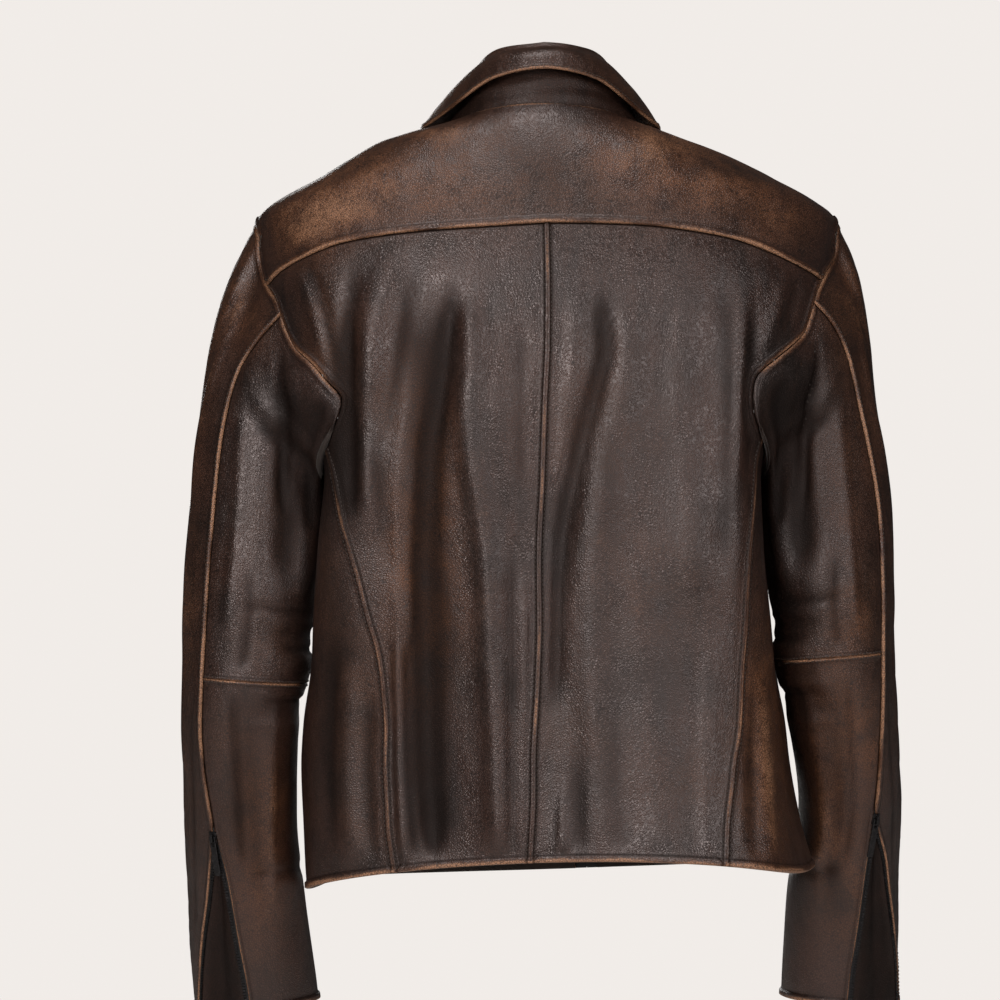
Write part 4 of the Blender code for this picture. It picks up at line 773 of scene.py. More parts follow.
class Shader:
    """Short words for building a material from nodes."""

    def __init__(self, name):
        self.material = bpy.data.materials.new(name)
        self.material.use_nodes = True
        self.tree = self.material.node_tree
        self.tree.nodes.clear()
        self.output = self.tree.nodes.new("ShaderNodeOutputMaterial")
        self.surface = self.tree.nodes.new("ShaderNodeBsdfPrincipled")
        self.tree.links.new(self.surface.outputs[0], self.output.inputs[0])
        self.place = self.tree.nodes.new("ShaderNodeTexCoord").outputs["Object"]

    def node(self, kind, inputs=None, **settings):
        """A new node with its settings, its inputs linked or set."""
        made = self.tree.nodes.new(kind)
        for key, value in settings.items():
            setattr(made, key, value)
        for key, value in (inputs or {}).items():
            if isinstance(value, bpy.types.NodeSocket):
                self.tree.links.new(value, made.inputs[key])
            else:
                made.inputs[key].default_value = value
        return made

    def sum(self, operation, a, b, clamp=False):
        """Two values put together by a mathematical operation."""
        return self.node("ShaderNodeMath", {0: a, 1: b}, operation=operation, use_clamp=clamp).outputs[0]

    def stretch(self, scale, at=None):
        """The place, scaled on each axis."""
        return self.node("ShaderNodeMapping", {"Vector": at or self.place, "Scale": scale}).outputs[0]

    def noise(self, scale, detail=4.0, rough=0.55, at=None):
        """Cloudy noise from 0 to 1."""
        return self.node("ShaderNodeTexNoise", {"Vector": at or self.place, "Scale": scale, "Detail": detail,
                                                "Roughness": rough}).outputs["Fac"]

    def cell_edges(self, scale, at):
        """Distance to the nearest edge between the grain's cells."""
        return self.node("ShaderNodeTexVoronoi", {"Vector": at, "Scale": scale},
                         feature="DISTANCE_TO_EDGE").outputs["Distance"]

    def range(self, value, low, high, to_low=0.0, to_high=1.0):
        """A value between low and high, brought softly to another range."""
        return self.node("ShaderNodeMapRange", {0: value, 1: low, 2: high, 3: to_low, 4: to_high},
                         interpolation_type="SMOOTHSTEP").outputs[0]

    def mix(self, amount, a, b):
        """From colour a at 0 to colour b at 1."""
        def full(colour):
            return colour if isinstance(colour, bpy.types.NodeSocket) else (*colour, 1.0)
        return self.node("ShaderNodeMix", {0: amount, 6: full(a), 7: full(b)}, data_type="RGBA").outputs[2]

    def bump(self, height, distance, strength=1.0, under=None):
        """A normal bent by a height, over another bump where one is given."""
        inputs = {"Height": height, "Distance": distance, "Strength": strength}
        if under is not None:
            inputs["Normal"] = under
        return self.node("ShaderNodeBump", inputs).outputs[0]

    def set(self, key, value):
        """Link or set an input of the surface."""
        if isinstance(value, bpy.types.NodeSocket):
            self.tree.links.new(value, self.surface.inputs[key])
        else:
            self.surface.inputs[key].default_value = value


def leather_finish():
    """Dark brown leather rubbed to orange brown and tan where the marks say so, with dirt, painted shade and a fine
    grain.
    """
    colours = bpy.context.scene.jacket_colours
    made = Shader("worn_leather")
    marks = made.node("ShaderNodeAttribute", attribute_name="marks").outputs["Color"]
    split = made.node("ShaderNodeSeparateColor", {0: marks})
    worn, warm, dirt = split.outputs[0], split.outputs[1], split.outputs[2]
    broad = made.noise(11.0, 3.0)
    cloud = made.noise(46.0, 6.0, 0.62)
    fine = made.noise(310.0, 4.0, 0.6)
    streak = made.noise(70.0, 4.0, 0.6, made.stretch((1.0, 1.0, 0.22)))
    warped = made.node("ShaderNodeVectorMath", {0: made.place, 1: made.node("ShaderNodeVectorMath", {
        0: made.node("ShaderNodeTexNoise", {"Vector": made.place, "Scale": 240.0}).outputs["Color"],
        "Scale": 0.0011}, operation="SCALE").outputs[0]}, operation="ADD").outputs[0]
    grain = made.cell_edges(500.0, warped)
    pebble = made.range(grain, 0.0, 0.42)
    shade = made.sum("ADD", made.sum("MULTIPLY", broad, 0.55), made.sum("MULTIPLY", streak, 0.45))
    base = made.mix(made.range(shade, 0.36, 0.64), tuple(colours.dark), tuple(colours.brown))
    heat = made.sum("MULTIPLY", warm, made.range(cloud, 0.25, 0.72, 0.25, 1.15), True)
    base = made.mix(heat, base, tuple(colours.warm))
    rubbed = made.sum("ADD", worn, made.sum("MULTIPLY", made.sum("SUBTRACT", cloud, 0.5), 0.55))
    rubbed = made.sum("ADD", rubbed, made.sum("MULTIPLY", made.sum("SUBTRACT", fine, 0.5), 0.45))
    base = made.mix(made.range(rubbed, 0.28, 0.88, 0.0, 0.92), base, tuple(colours.tan))
    scuff = made.range(made.noise(150.0, 5.0, 0.7), 0.60, 0.78, 0.0, 0.30)
    base = made.mix(scuff, base, tuple(colours.warm))
    # Painted sheen: the tops of the grain's cells are mixed towards a lighter grey
    top_sheen = made.sum("MULTIPLY", made.range(grain, 0.10, 0.40), made.range(fine, 0.35, 0.70, 0.02, 0.20))
    base = made.mix(top_sheen, base, GRAIN_TOP_SHEEN)
    # The dark mark paints dirt and shade: it darkens the colour, and further down it also roughens the surface and
    # dulls its shine
    soil_and_shade_amount = made.sum("MULTIPLY", dirt, 0.80, True)
    base = made.mix(soil_and_shade_amount, base, SOIL_AND_SHADE)
    # Painted shade in the gaps between the grain's cells
    between = made.range(grain, 0.0, 0.15, 0.85, 0.0)
    base = made.mix(between, base, GRAIN_GAP_SHADE)
    made.set("Base Color", base)
    gloss = made.sum("ADD", made.range(cloud, 0.3, 0.7, 0.30, 0.41), made.sum("MULTIPLY", worn, 0.16))
    made.set("Roughness", made.sum("ADD", gloss, made.sum("MULTIPLY", dirt, 0.22)))
    made.set("Specular IOR Level", made.range(dirt, 0.0, 0.9, 0.60, 0.16))
    made.set("Specular Tint", (1.0, 0.86, 0.84, 1.0))
    wrinkle = made.noise(95.0, 3.0, 0.62, made.stretch((1.0, 1.0, 0.45)))
    low = made.bump(wrinkle, 0.00055, 1.0)
    middle = made.bump(pebble, 0.00016, 1.0, low)
    made.set("Normal", made.bump(fine, 0.00002, 0.8, middle))
    return made.material


def flesh_finish():
    """Matt brown inner side of the leather, with short fibres."""
    colours = bpy.context.scene.jacket_colours
    made = Shader("leather_inside")
    fibre = made.noise(900.0, 5.0, 0.7)
    cloud = made.noise(30.0, 4.0)
    deep = tuple(0.5 * c for c in colours.flesh)
    base = made.mix(made.range(cloud, 0.3, 0.7), deep, tuple(colours.flesh))
    pale = tuple(1.5 * c for c in colours.flesh)
    made.set("Base Color", made.mix(made.range(fibre, 0.4, 0.8, 0.0, 0.4), base, pale))
    made.set("Roughness", made.range(fibre, 0.2, 0.8, 0.80, 0.95))
    made.set("Normal", made.bump(fibre, 0.0003, 0.8))
    made.set("Sheen Weight", 0.05)
    return made.material


def thread_finish():
    """Twisted dark thread."""
    colours = bpy.context.scene.jacket_colours
    made = Shader("sewing_thread")
    twist = made.node("ShaderNodeTexWave", {"Vector": made.place, "Scale": 900.0, "Distortion": 2.0},
                      bands_direction="DIAGONAL").outputs["Fac"]
    made.set("Base Color", made.mix(twist, tuple(colours.thread), tuple(2.2 * c for c in colours.thread)))
    made.set("Roughness", made.range(twist, 0.0, 1.0, 0.50, 0.70))
    made.set("Normal", made.bump(twist, 0.0001, 0.6))
    return made.material


def tape_finish():
    """Black herringbone tape."""
    colours = bpy.context.scene.jacket_colours
    made = Shader("woven_zip_tape")
    one = made.node("ShaderNodeTexWave", {"Vector": made.place, "Scale": 420.0, "Distortion": 1.0},
                    bands_direction="Z").outputs["Fac"]
    two = made.node("ShaderNodeTexWave", {"Vector": made.place, "Scale": 520.0, "Distortion": 1.0},
                    bands_direction="X").outputs["Fac"]
    weave = made.sum("MULTIPLY", one, two)
    dust = made.noise(60.0, 4.0)
    base = made.mix(weave, tuple(0.6 * c for c in colours.tape), tuple(2.0 * c for c in colours.tape))
    made.set("Base Color", made.mix(made.range(dust, 0.5, 0.8, 0.0, 0.3), base, TAPE_DUST))
    made.set("Roughness", made.range(weave, 0.0, 1.0, 0.85, 0.70))
    made.set("Normal", made.bump(weave, 0.0003, 0.8))
    return made.material


def metal_finish():
    """Darkened brass of the zips, brighter where it rubs."""
    colours = bpy.context.scene.jacket_colours
    made = Shader("dark_zip_metal")
    cloud = made.noise(500.0, 4.0, 0.6)
    scratch = made.noise(1600.0, 3.0, 0.6, made.stretch((1.0, 1.0, 0.12)))
    rub = made.range(cloud, 0.45, 0.75)
    made.set("Base Color", made.mix(rub, tuple(colours.metal), tuple(2.4 * c for c in colours.metal)))
    made.set("Metallic", 1.0)
    dull = made.range(cloud, 0.3, 0.7, 0.30, 0.46)
    made.set("Roughness", made.sum("ADD", dull, made.sum("MULTIPLY", scratch, 0.10)))
    made.set("Normal", made.bump(scratch, 0.00006, 0.5))
    return made.material


def finish(name):
    """The named finish, made once."""
    makers = {"worn_leather": leather_finish, "leather_inside": flesh_finish, "sewing_thread": thread_finish,
              "woven_zip_tape": tape_finish, "dark_zip_metal": metal_finish}
    return bpy.data.materials.get(name) or makers[name]()


def mesh_piece(name, points, quads, finishes, body, marks=None, indices=None):
    """A smooth mesh object that rides on a body."""
    mesh = bpy.data.meshes.new(name)
    quads = np.asarray(quads, np.int32)
    mesh.vertices.add(len(points))
    mesh.vertices.foreach_set("co", np.asarray(points, np.float32).ravel())
    mesh.loops.add(quads.size)
    mesh.loops.foreach_set("vertex_index", quads.ravel())
    mesh.polygons.add(len(quads))
    mesh.polygons.foreach_set("loop_start", np.arange(0, quads.size, quads.shape[1], dtype=np.int32))
    for kind in finishes:
        mesh.materials.append(finish(kind))
    if indices is not None:
        mesh.polygons.foreach_set("material_index", np.asarray(indices, np.int32))
    mesh.update(calc_edges=True)
    mesh.polygons.foreach_set("use_smooth", np.ones(len(quads), bool))
    if marks is not None:
        layer = mesh.attributes.new("marks", "FLOAT_COLOR", "POINT")
        full = np.concatenate([np.clip(marks, 0, 1), np.ones((len(marks), 1))], axis=1)
        layer.data.foreach_set("color", full.astype(np.float32).ravel())
    mesh.validate()
    made = bpy.data.objects.new(name, mesh)
    bpy.context.scene.collection.objects.link(made)
    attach(made, body)
    return made


def shell(name, outer, inner, finishes, marks=None):
    """Two faces of a piece of leather or tape, closed all round."""
    rows, columns = outer.shape[:2]
    half = rows * columns
    index = np.arange(half).reshape(rows, columns)
    front = np.stack([index[:-1, :-1], index[:-1, 1:], index[1:, 1:], index[1:, :-1]], axis=-1).reshape(-1, 4)
    ring = np.concatenate([index[0], index[1:, -1], index[-1, -2::-1], index[-2:0:-1, 0]])
    after = np.roll(ring, -1)
    wall = np.stack([after, ring, ring + half, after + half], axis=-1)
    quads = np.concatenate([front, front[:, ::-1] + half, wall])
    points = np.concatenate([outer.reshape(-1, 3), inner.reshape(-1, 3)])
    a, b, c = (points[front[:, k]] for k in range(3))
    if np.sum(np.cross(b - a, c - a) * (outer - inner).reshape(-1, 3)[front[:, 0]]) < 0:
        quads = quads[:, ::-1]
    kinds = np.concatenate([np.zeros(len(front)), np.full(len(front), len(finishes) - 1), np.zeros(len(wall))])
    both = None if marks is None else np.concatenate([marks.reshape(-1, 3)] * 2)
    return mesh_piece(name, points, quads, finishes, "jacket", both, kinds)


def leather_piece(name, outer, inner, finishes, marks):
    """A piece of leather in place of its solid."""
    made = shell(name + "_leather", outer, inner, finishes, marks)
    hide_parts(name)
    return made


def flat_size(base):
    """Flat width, length and area of a piece, measured along its mesh lines."""
    wide = np.linalg.norm(np.diff(base, axis=1), axis=-1).sum(axis=1).max()
    long = np.linalg.norm(np.diff(base, axis=0), axis=-1).sum(axis=0).max()
    cell = np.cross(base[1:, 1:] - base[:-1, :-1], base[1:, :-1] - base[:-1, 1:])
    return wide, long, min(np.linalg.norm(cell, axis=-1).sum() / 2, wide * long)


def repeat_quads(each, count, points):
    """Faces of many small shapes alike, each with its number of points."""
    return (np.array(each)[None] + (np.arange(count) * points)[:, None, None]).reshape(-1, 4)


def stitch_row(points, normals, path, away):
    """Centres, directions and normals of stitches at a distance inside a panel from one of its seams."""
    pitch = bpy.context.scene.jacket_sizes.stitch_pitch
    flat, up = points.reshape(-1, 3), normals.reshape(-1, 3)

    def squared(point):
        return np.sum((flat - point) ** 2, axis=1)

    run = unit(np.gradient(path, axis=0))
    near = [int(np.argmin(squared(point))) for point in path]
    side = unit(np.cross(up[near], run))
    sides = [(np.mean([squared(point).min() for point in (path + side * away * sign)[::4]]), sign)
             for sign in (1, -1)]
    moved = path + side * away * min(sides)[1]
    along = way_along(moved)
    at = np.arange(pitch, along[-1] - pitch * 0.5, pitch)
    kept = []
    for centre, way in zip(read_along(at, along, moved), read_along(at, along, run)):
        gaps = squared(centre)
        best = int(np.argmin(gaps))
        if gaps[best] <= STITCH_REACH**2:
            n = up[best]
            kept.append((centre - n * ((centre - flat[best]) @ n), way - n * (way @ n), n))
    return kept


def sew(name, outer, normals, lines):
    """One mesh of short rounded stitches beside the seams that are stitched, or None."""
    sizes = bpy.context.scene.jacket_sizes
    face = grid_normals(outer)
    face = face * np.sign(np.sum(face * normals))
    stitches = []
    for style, path in lines:
        if SEAM_STYLES[style].stitched:
            stitches += stitch_row(outer, face, path, SEAM_STYLES[style].stitched / 1000)
    if not stitches:
        return None
    centre, way, up = (np.array(part) for part in zip(*stitches))
    way = unit(way)
    across = np.cross(way, up)
    thick, half = sizes.thread / 2, sizes.stitch / 2
    points, quads = [], []
    for ring, (along, wide, high) in enumerate(STITCH_RINGS):
        for k in range(THREAD_SIDES):
            turn = 2 * np.pi * k / THREAD_SIDES
            points.append(centre + way * half * along + across * (thick * wide * np.cos(turn))
                          + up * (thick * wide * np.sin(turn) + thick * high))
            here, after = ring * THREAD_SIDES + k, ring * THREAD_SIDES + (k + 1) % THREAD_SIDES
            if ring:
                quads.append((here - THREAD_SIDES, after - THREAD_SIDES, after, here))
    whole = repeat_quads(quads, len(centre), len(points))
    points = np.stack(points, axis=1).reshape(-1, 3)
    made = mesh_piece(name + "_stitches", points, whole, ("sewing_thread",), "jacket")
    return made


def sewn_panel(name, grid, surface, seams, creases, marks, hems=()):
    """One leather panel with its seams, creases, wear, painted shade and stitches, in place of its solid."""
    sizes = bpy.context.scene.jacket_sizes
    step = sizes.mesh_step * 1.0
    grid = respace(respace(grid, surface.points, 1, step), surface.points, 0, step)
    a, b = grid[..., 0], np.clip(grid[..., 1], 0, 1)
    base, normals = surface.points(a, b), surface.normals(a, b)

    def placed(path):
        return surface.points(path[:, 0], np.clip(path[:, 1], 0, 1))

    lines = [(style, placed(path)) for style, path in seams]
    relief, rub, dirt, glow, nearest = seam_relief(base, lines)
    soft = rumple(base, (0.045, 0.045, 0.110), 3) * sizes.rumple
    soft = soft + rumple(base, (0.017, 0.017, 0.036), 8) * sizes.rumple * 0.32
    small = creases(a, b, base) * ease(nearest, 0.004, 0.018) + soft * ease(nearest, 0.0, 0.020)
    outer = base + normals * (relief + small)[..., None]
    thick = np.full(a.shape, sizes.leather)
    for path in hems:
        far, _ = near_line(base, placed(path))
        thick = thick + sizes.leather * 0.9 * (1 - ease(far, 0.020, 0.024)) * ease(far, -0.001, 0.0012)
    inner = base + normals * (np.minimum(relief, 0) + small - thick)[..., None]
    warm, worn, dark = np.moveaxis(marks(a, b, base), -1, 0)
    # Ridges of the small creases rub lighter, and their valleys get painted shade on top of the seams' dirt and
    # painted shade
    worn = np.maximum(rub, worn) + np.clip(small / 0.0026, 0, 1) * 0.18
    dark = np.maximum(dirt, dark) + np.clip(-small / 0.0024, 0, 1) * 0.60
    made = leather_piece(name, outer, inner, LEATHER_FINISHES, np.stack([worn, warm + glow, dark], axis=-1))
    sewn = sew(name, outer, normals, lines)
    wide, long, area = flat_size(base)


class BodyFace:
    """The body's outer face, read by u and v."""

    points = staticmethod(torso)

    @staticmethod
    def normals(u, v):
        """Unit normals at u, v."""
        return facing(torso, u, v, 1)


class SleeveFace:
    """A sleeve's outer face, read by angle and s."""

    def __init__(self, side):
        self.lattice, self.lattice_normals, self.heights = sleeve_lattice(side)

    def points(self, angle, s):
        """Points at an angle and s."""
        return read_lattice(self.lattice, angle, s)

    def normals(self, angle, s):
        """Unit normals at an angle and s."""
        return unit(read_lattice(self.lattice_normals, angle, s))


@cache
def sleeve_face(side):
    """The face of one sleeve, made once."""
    return SleeveFace(side)


def body_creases(u, v, p):
    """Height of the small creases of the body."""
    return body_folds(u, p, BACK_CREASES + BACK_SPANS, FRONT_CREASES, 0.05)


def body_marks(u, v, p):
    """Listed wear and painted shade on the body, with painted shade in the valleys and rubbed ridges of its main
    folds.
    """
    c = np.cos(u)
    back = patch_marks(p[..., 0], p[..., 2], BACK_PATCHES) * np.clip(c * 4 + 0.5, 0, 1)[..., None]
    front = patch_marks(p[..., 0], p[..., 2], FRONT_PATCHES) * np.clip(-c * 4 + 0.5, 0, 1)[..., None]
    high = body_folds(u, p, BACK_FOLDS + BACK_SPANS, FRONT_FOLDS, 0.06)
    return back + front + fold_marks(high, 0.006, 0.0045, 0.75)


def armhole_line(side, first, last, n):
    """n + 1 points u, v of the armhole from one angle to another."""
    return np.stack(armhole(side, np.linspace(first, last, n + 1)), axis=-1)


def front_edge(v, offset):
    """u on the front where x is the offset from the front middle."""
    rings = np.array(TORSO)
    a, e = smooth(rings[:, 0], rings[:, 4], v), smooth(rings[:, 0], rings[:, 9], v)
    return np.pi - offset * (1 - e) / (a * (1 + 3 * e))


def body_seams():
    """Every seam of the body as points in u, v, shared by the panels on both its sides."""
    found = {}
    v = np.linspace(0, 1, 81)
    for side, sign in SIDES:
        low = [locate(x, z) for x, z in PRINCESS_SEAM[side]]
        low[0][1] = 0.0
        end = np.array(armhole(side, PRINCESS))
        found["princess", side] = curve(low + [end], 80)
        end = np.array(armhole(side, SIDE_FRONT))
        start = np.array([sign * SIDE_HEM, 0.0])
        found["side_front", side] = np.stack([start[0] + (end[0] - start[0]) * v**1.5, end[1] * v], axis=-1)
        corner = np.array(armhole(side, YOKE))
        half = [locate(x, z) for x, z in YOKE_SEAM]
        half = sorted((p for p in half if p[0] * sign > 0.03), key=lambda p: abs(p[0]))
        middle = locate(*YOKE_MIDDLE)
        found["yoke", side] = curve([middle] + half + [corner], 60)
        tip = np.array(armhole(side, SHOULDER))
        found["shoulder", side] = line(tip, (sign * NECK_SIDE, 1.0), 20)
        neck = front_edge(1.0, ZIP_HALF)
        found["neck_front", side] = line((sign * NECK_SIDE, 1.0), (sign * neck, 1.0), 20)
        found["hem_back", side] = line((locate(*HEM_MIDDLE)[0], 0.0), found["princess", side][0], 60)
        found["hem_side", side] = line(found["princess", side][0], start, 32)
        found["hem_front", side] = line(start, (sign * front_edge(0.0, ZIP_HALF), 0.0), 40)
    centre = [locate(x, z) for x, z in CENTRE_BACK]
    centre[0][1] = 0.0
    centre[-1] = middle
    whole = curve(centre, 200)
    row = int(np.argmin(np.abs(whole[:, 1] - SIDE_TOP)))
    found["centre"] = chain(curve(whole[:row + 1], 80), curve(whole[row:], 32))
    return found


class JACKET_OT_body(bpy.types.Operator):
    """Back, side and front panels and the yoke."""
    bl_idname = "jacket.body"
    bl_label = "Body panels"

    def execute(self, context):
        """Make the seven panels."""
        seam = body_seams()
        face = BodyFace
        for side, sign in SIDES:
            arm = armhole_line(side, PRINCESS, YOKE, 32)
            sewn_panel("back_" + side, coons(seam["hem_back", side], seam["yoke", side], seam["centre"],
                                             chain(seam["princess", side], arm)), face,
                       (("hem", seam["hem_back", side]), ("tucked under", seam["yoke", side]),
                        ("welt", seam["centre"]), ("princess", seam["princess", side]),
                        ("armhole body", armhole_line(side, BAND_END, YOKE, 32)),
                        ("armhole under", armhole_line(side, PRINCESS, BAND_END, 12))),
                       body_creases, body_marks, (seam["hem_back", side],))
            arm = armhole_line(side, PRINCESS, SIDE_FRONT, 32)
            sewn_panel("side_" + side, coons(seam["hem_side", side], arm, seam["princess", side],
                                             seam["side_front", side]), face,
                       (("hem", seam["hem_side", side]), ("armhole under", arm), ("princess", seam["princess", side]),
                        ("low welt", seam["side_front", side])),
                       body_creases, body_marks, (seam["hem_side", side],))
            v = chain(np.linspace(0, SIDE_TOP, 81), np.linspace(SIDE_TOP, 1, 33))
            arm = chain(armhole_line(side, SIDE_FRONT, SLEEVE_FRONT, 4), armhole_line(side, SLEEVE_FRONT, 360, 28))
            edge = np.stack([sign * front_edge(v, ZIP_HALF), v], axis=-1)
            top = chain(seam["shoulder", side], seam["neck_front", side])
            sewn_panel("front_" + side, coons(seam["hem_front", side], top, chain(seam["side_front", side], arm),
                                              edge, reach=4.0), face,
                       (("hem", seam["hem_front", side]), ("low welt", seam["side_front", side]),
                        ("armhole body", arm), ("low welt", seam["shoulder", side]),
                        ("neck", seam["neck_front", side]), ("zip edge", edge)),
                       body_creases, body_marks, (seam["hem_front", side],))
        bottom = chain(seam["yoke", "left"][::-1], seam["yoke", "right"])
        neck = line((NECK_SIDE, 1.0), (-NECK_SIDE, 1.0), 80)
        top = chain(seam["shoulder", "left"], neck, seam["shoulder", "right"][::-1])
        left, right = armhole_line("left", YOKE, SHOULDER, 40), armhole_line("right", YOKE, SHOULDER, 40)
        sewn_panel("back_yoke", coons(bottom, top, left, right), face,
                   (("yoke over", bottom), ("low welt", seam["shoulder", "left"]),
                    ("low welt", seam["shoulder", "right"]), ("neck", neck),
                    ("armhole body", left), ("armhole body", right)), body_creases, body_marks)
        return {"FINISHED"}


def sleeve_edge(side, which, s):
    """Angle of the back seam above the zip and of one edge of the open cuff below it."""
    seam = np.array(BACK_SEAM[side])
    edge = np.array((OUTER_EDGE if which == "outer" else INNER_EDGE)[side])
    s = np.asarray(s, float)
    t = (s - ZIP_TOP[side]) / (1 - ZIP_TOP[side])
    return np.where(s < ZIP_TOP[side], smooth(seam[:, 0], seam[:, 1], s), smooth(edge[:, 0], edge[:, 1], t))


def front_seam(s):
    """Angle of the sleeve's front seam at s."""
    table = np.array(FRONT_SEAM)
    return smooth(table[:, 0], table[:, 1], s)


def sleeve_creases(a, s, p):
    """Height of the small creases of a sleeve."""
    around = np.mod(a, 360)
    return sum(crease(around, s, path, width, high, 0.05) for path, width, high in SLEEVE_CREASES) + tucks(
        around, s, SLEEVE_TUCKS, 24)


def sleeve_marks(side):
    """Function of the wear and painted shade on one sleeve: listed patches and its main folds."""
    def marks(a, s, p):
        around, patches = np.mod(a, 360), SLEEVE_PATCHES[side]
        high = read_lattice(sleeve_face(side).heights, a, s)
        return (patch_marks(around, s, patches) + patch_marks(around - 360, s, patches)
                + fold_marks(high, 0.006, 0.005, 0.45))
    return marks


def strip(s, first, last, start):
    """Columns keep the armhole's spacing at the top and even out below it."""
    share = (start - start[0]) / (start[-1] - start[0])
    mix = np.clip(s / 0.3, 0, 1)[:, None]
    part = share[None] * (1 - mix) + np.linspace(0, 1, len(start))[None] * mix
    angle = first[:, None] * (1 - part) + last[:, None] * part
    return with_s(angle, s[:, None])


def with_s(angle, s):
    """Pairs of angle and s."""
    return np.stack(np.broadcast_arrays(angle, s), axis=-1)


def make_sleeve(side):
    """Top, upper under and forearm panels of one sleeve."""
    face, marks = sleeve_face(side), sleeve_marks(side)
    elbow_s, zip_s = ELBOW[side], ZIP_TOP[side]
    upper, lower = np.linspace(0, elbow_s, 101), np.linspace(elbow_s, 1, 81)
    whole = chain(upper, lower)
    cap = np.linspace(SLEEVE_FRONT, 360 + SLEEVE_BACK, 71)
    low = np.linspace(SLEEVE_BACK, SLEEVE_FRONT, 71)

    def edge(which, s):
        return with_s(sleeve_edge(side, which, s), s)

    def front(s):
        return with_s(front_seam(s), s)

    def across(first, last, s):
        return with_s(np.linspace(float(first), float(last), 60), s)

    hem = across(FRONT_CUFF, 360 + sleeve_edge(side, "outer", 1.0), 1.0)
    sewn_panel("sleeve_top_" + side, strip(whole, front_seam(whole), 360 + sleeve_edge(side, "outer", whole), cap),
               face, (("armhole sleeve", with_s(cap, 0.0)), ("low welt", front(whole)),
                      ("sleeve over", edge("outer", whole[whole <= zip_s])),
                      ("cuff zip edge", edge("outer", whole[whole >= zip_s])), ("hem", hem)),
               sleeve_creases, marks, (hem,))
    elbow = across(sleeve_edge(side, "inner", elbow_s), front_seam(elbow_s), elbow_s)
    sewn_panel("sleeve_under_" + side, strip(upper, sleeve_edge(side, "inner", upper), front_seam(upper), low),
               face, (("armhole sleeve", with_s(low[low < BAND_END + 2], 0.0)),
                      ("armhole under", with_s(low[low > BAND_END - 2], 0.0)),
                      ("low welt", front(upper)), ("tucked under", edge("inner", upper)), ("elbow above", elbow)),
               sleeve_creases, marks)
    hem = across(sleeve_edge(side, "inner", 1.0), FRONT_CUFF, 1.0)
    sewn_panel("forearm_" + side, strip(lower, sleeve_edge(side, "inner", lower), front_seam(lower), low),
               face, (("elbow below", elbow), ("low welt", front(lower)),
                      ("tucked under", edge("inner", lower[lower <= zip_s])),
                      ("cuff zip edge", edge("inner", lower[lower >= zip_s])), ("hem", hem)),
               sleeve_creases, marks, (hem,))


class JACKET_OT_sleeves(bpy.types.Operator):
    """Both sleeves, each a top, an upper under and a forearm panel."""
    bl_idname = "jacket.sleeves"
    bl_label = "Sleeves"

    def execute(self, context):
        """Make both sleeves."""
        for side, _ in SIDES:
            make_sleeve(side)
        return {"FINISHED"}


def cell_faces(place, lines, filled):
    """Outer faces of filled cells in a local frame of across, down and outward."""
    origin, axes = place
    xs, ys, zs = lines
    cells = {(i, j, k) for (i0, i1), (j0, j1), (k0, k1) in filled
             for i in range(i0, i1) for j in range(j0, j1) for k in range(k0, k1)}
    index, points, quads = {}, [], []

    def corner(at):
        if at not in index:
            index[at] = len(points)
            points.append(origin + axes[0] * xs[at[0]] + axes[1] * ys[at[1]] + axes[2] * zs[at[2]])
        return index[at]

    for cell in sorted(cells):
        for axis in range(3):
            for step in (0, 1):
                beside = list(cell)
                beside[axis] += 2 * step - 1
                if tuple(beside) in cells:
                    continue
                quad = []
                for db, dc in ((0, 0), (1, 0), (1, 1), (0, 1)):
                    at = list(cell)
                    at[axis] += step
                    at[(axis + 1) % 3] += db
                    at[(axis + 2) % 3] += dc
                    quad.append(corner(tuple(at)))
                quads.append(quad if step else quad[::-1])
    return np.array(points), np.array(quads)


def metal_piece(node, place, lines, filled, body):
    """A piece of metal with rounded edges, in place of its solid."""
    points, quads = cell_faces(place, lines, filled)
    a, b, c = (points[quads[:, k]] for k in range(3))
    if np.sum(np.cross(b - a, c - a) * (a - points.mean(axis=0))) < 0:
        quads = quads[:, ::-1]
    made = mesh_piece(node + "_metal", points, quads, ("dark_zip_metal",), body)
    bevel = made.modifiers.new("rounding", "BEVEL")
    bevel.width = ROUND_OVER
    bevel.segments = 3
    bevel.angle_limit = radians(40)
    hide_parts(node)


def slider_and_pull(pull, point, out, length, slider):
    """Slider with its bridge on the zip, and the tab that hangs straight down from it."""
    out = unit(np.asarray(out, float))
    down = np.array((0.0, 0.0, -1.0))
    down = unit(down - out * (down @ out))
    place = (np.asarray(point), (np.cross(down, out), down, out))
    metal_piece(slider, place, SLIDER_LINES, SLIDER_CELLS, "jacket")
    metal_piece(pull, place, (PULL_ACROSS, (*PULL_DOWN, length), PULL_OUT), PULL_CELLS, PULL_BODIES[pull])


def zip_teeth(name, path, out, inward, stagger=0.0):
    """Metal teeth along a tape's inner edge, set on by a part of their pitch."""
    pitch = bpy.context.scene.jacket_sizes.tooth_pitch
    along = way_along(path)
    at = np.arange(pitch * (0.5 + stagger), along[-1], pitch)
    centre, up, inner = (read_along(at, along, values) for values in (path, out, inward))
    run, up, inner = unit(np.cross(up, inner)), unit(up), unit(inner)
    points = np.stack([centre + inner * wide + run * (sign * long * pitch) + up * high
                       for wide, long, high in TOOTH_PAIRS for sign in (-1, 1)], axis=1)
    whole = repeat_quads(TOOTH_FACES, len(centre), points.shape[1])
    made = mesh_piece(name, points.reshape(-1, 3), whole, ("dark_zip_metal",), "jacket")
    made.data.polygons.foreach_set("use_smooth", np.zeros(len(whole), bool))
    return made


def tape_piece(name, outer, normals):
    """A strip of woven tape in place of its solid."""
    made = shell(name + "_woven", outer, outer - normals * TAPE_THICK, ("woven_zip_tape",))
    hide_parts(name)
    wide, long, area = flat_size(outer)


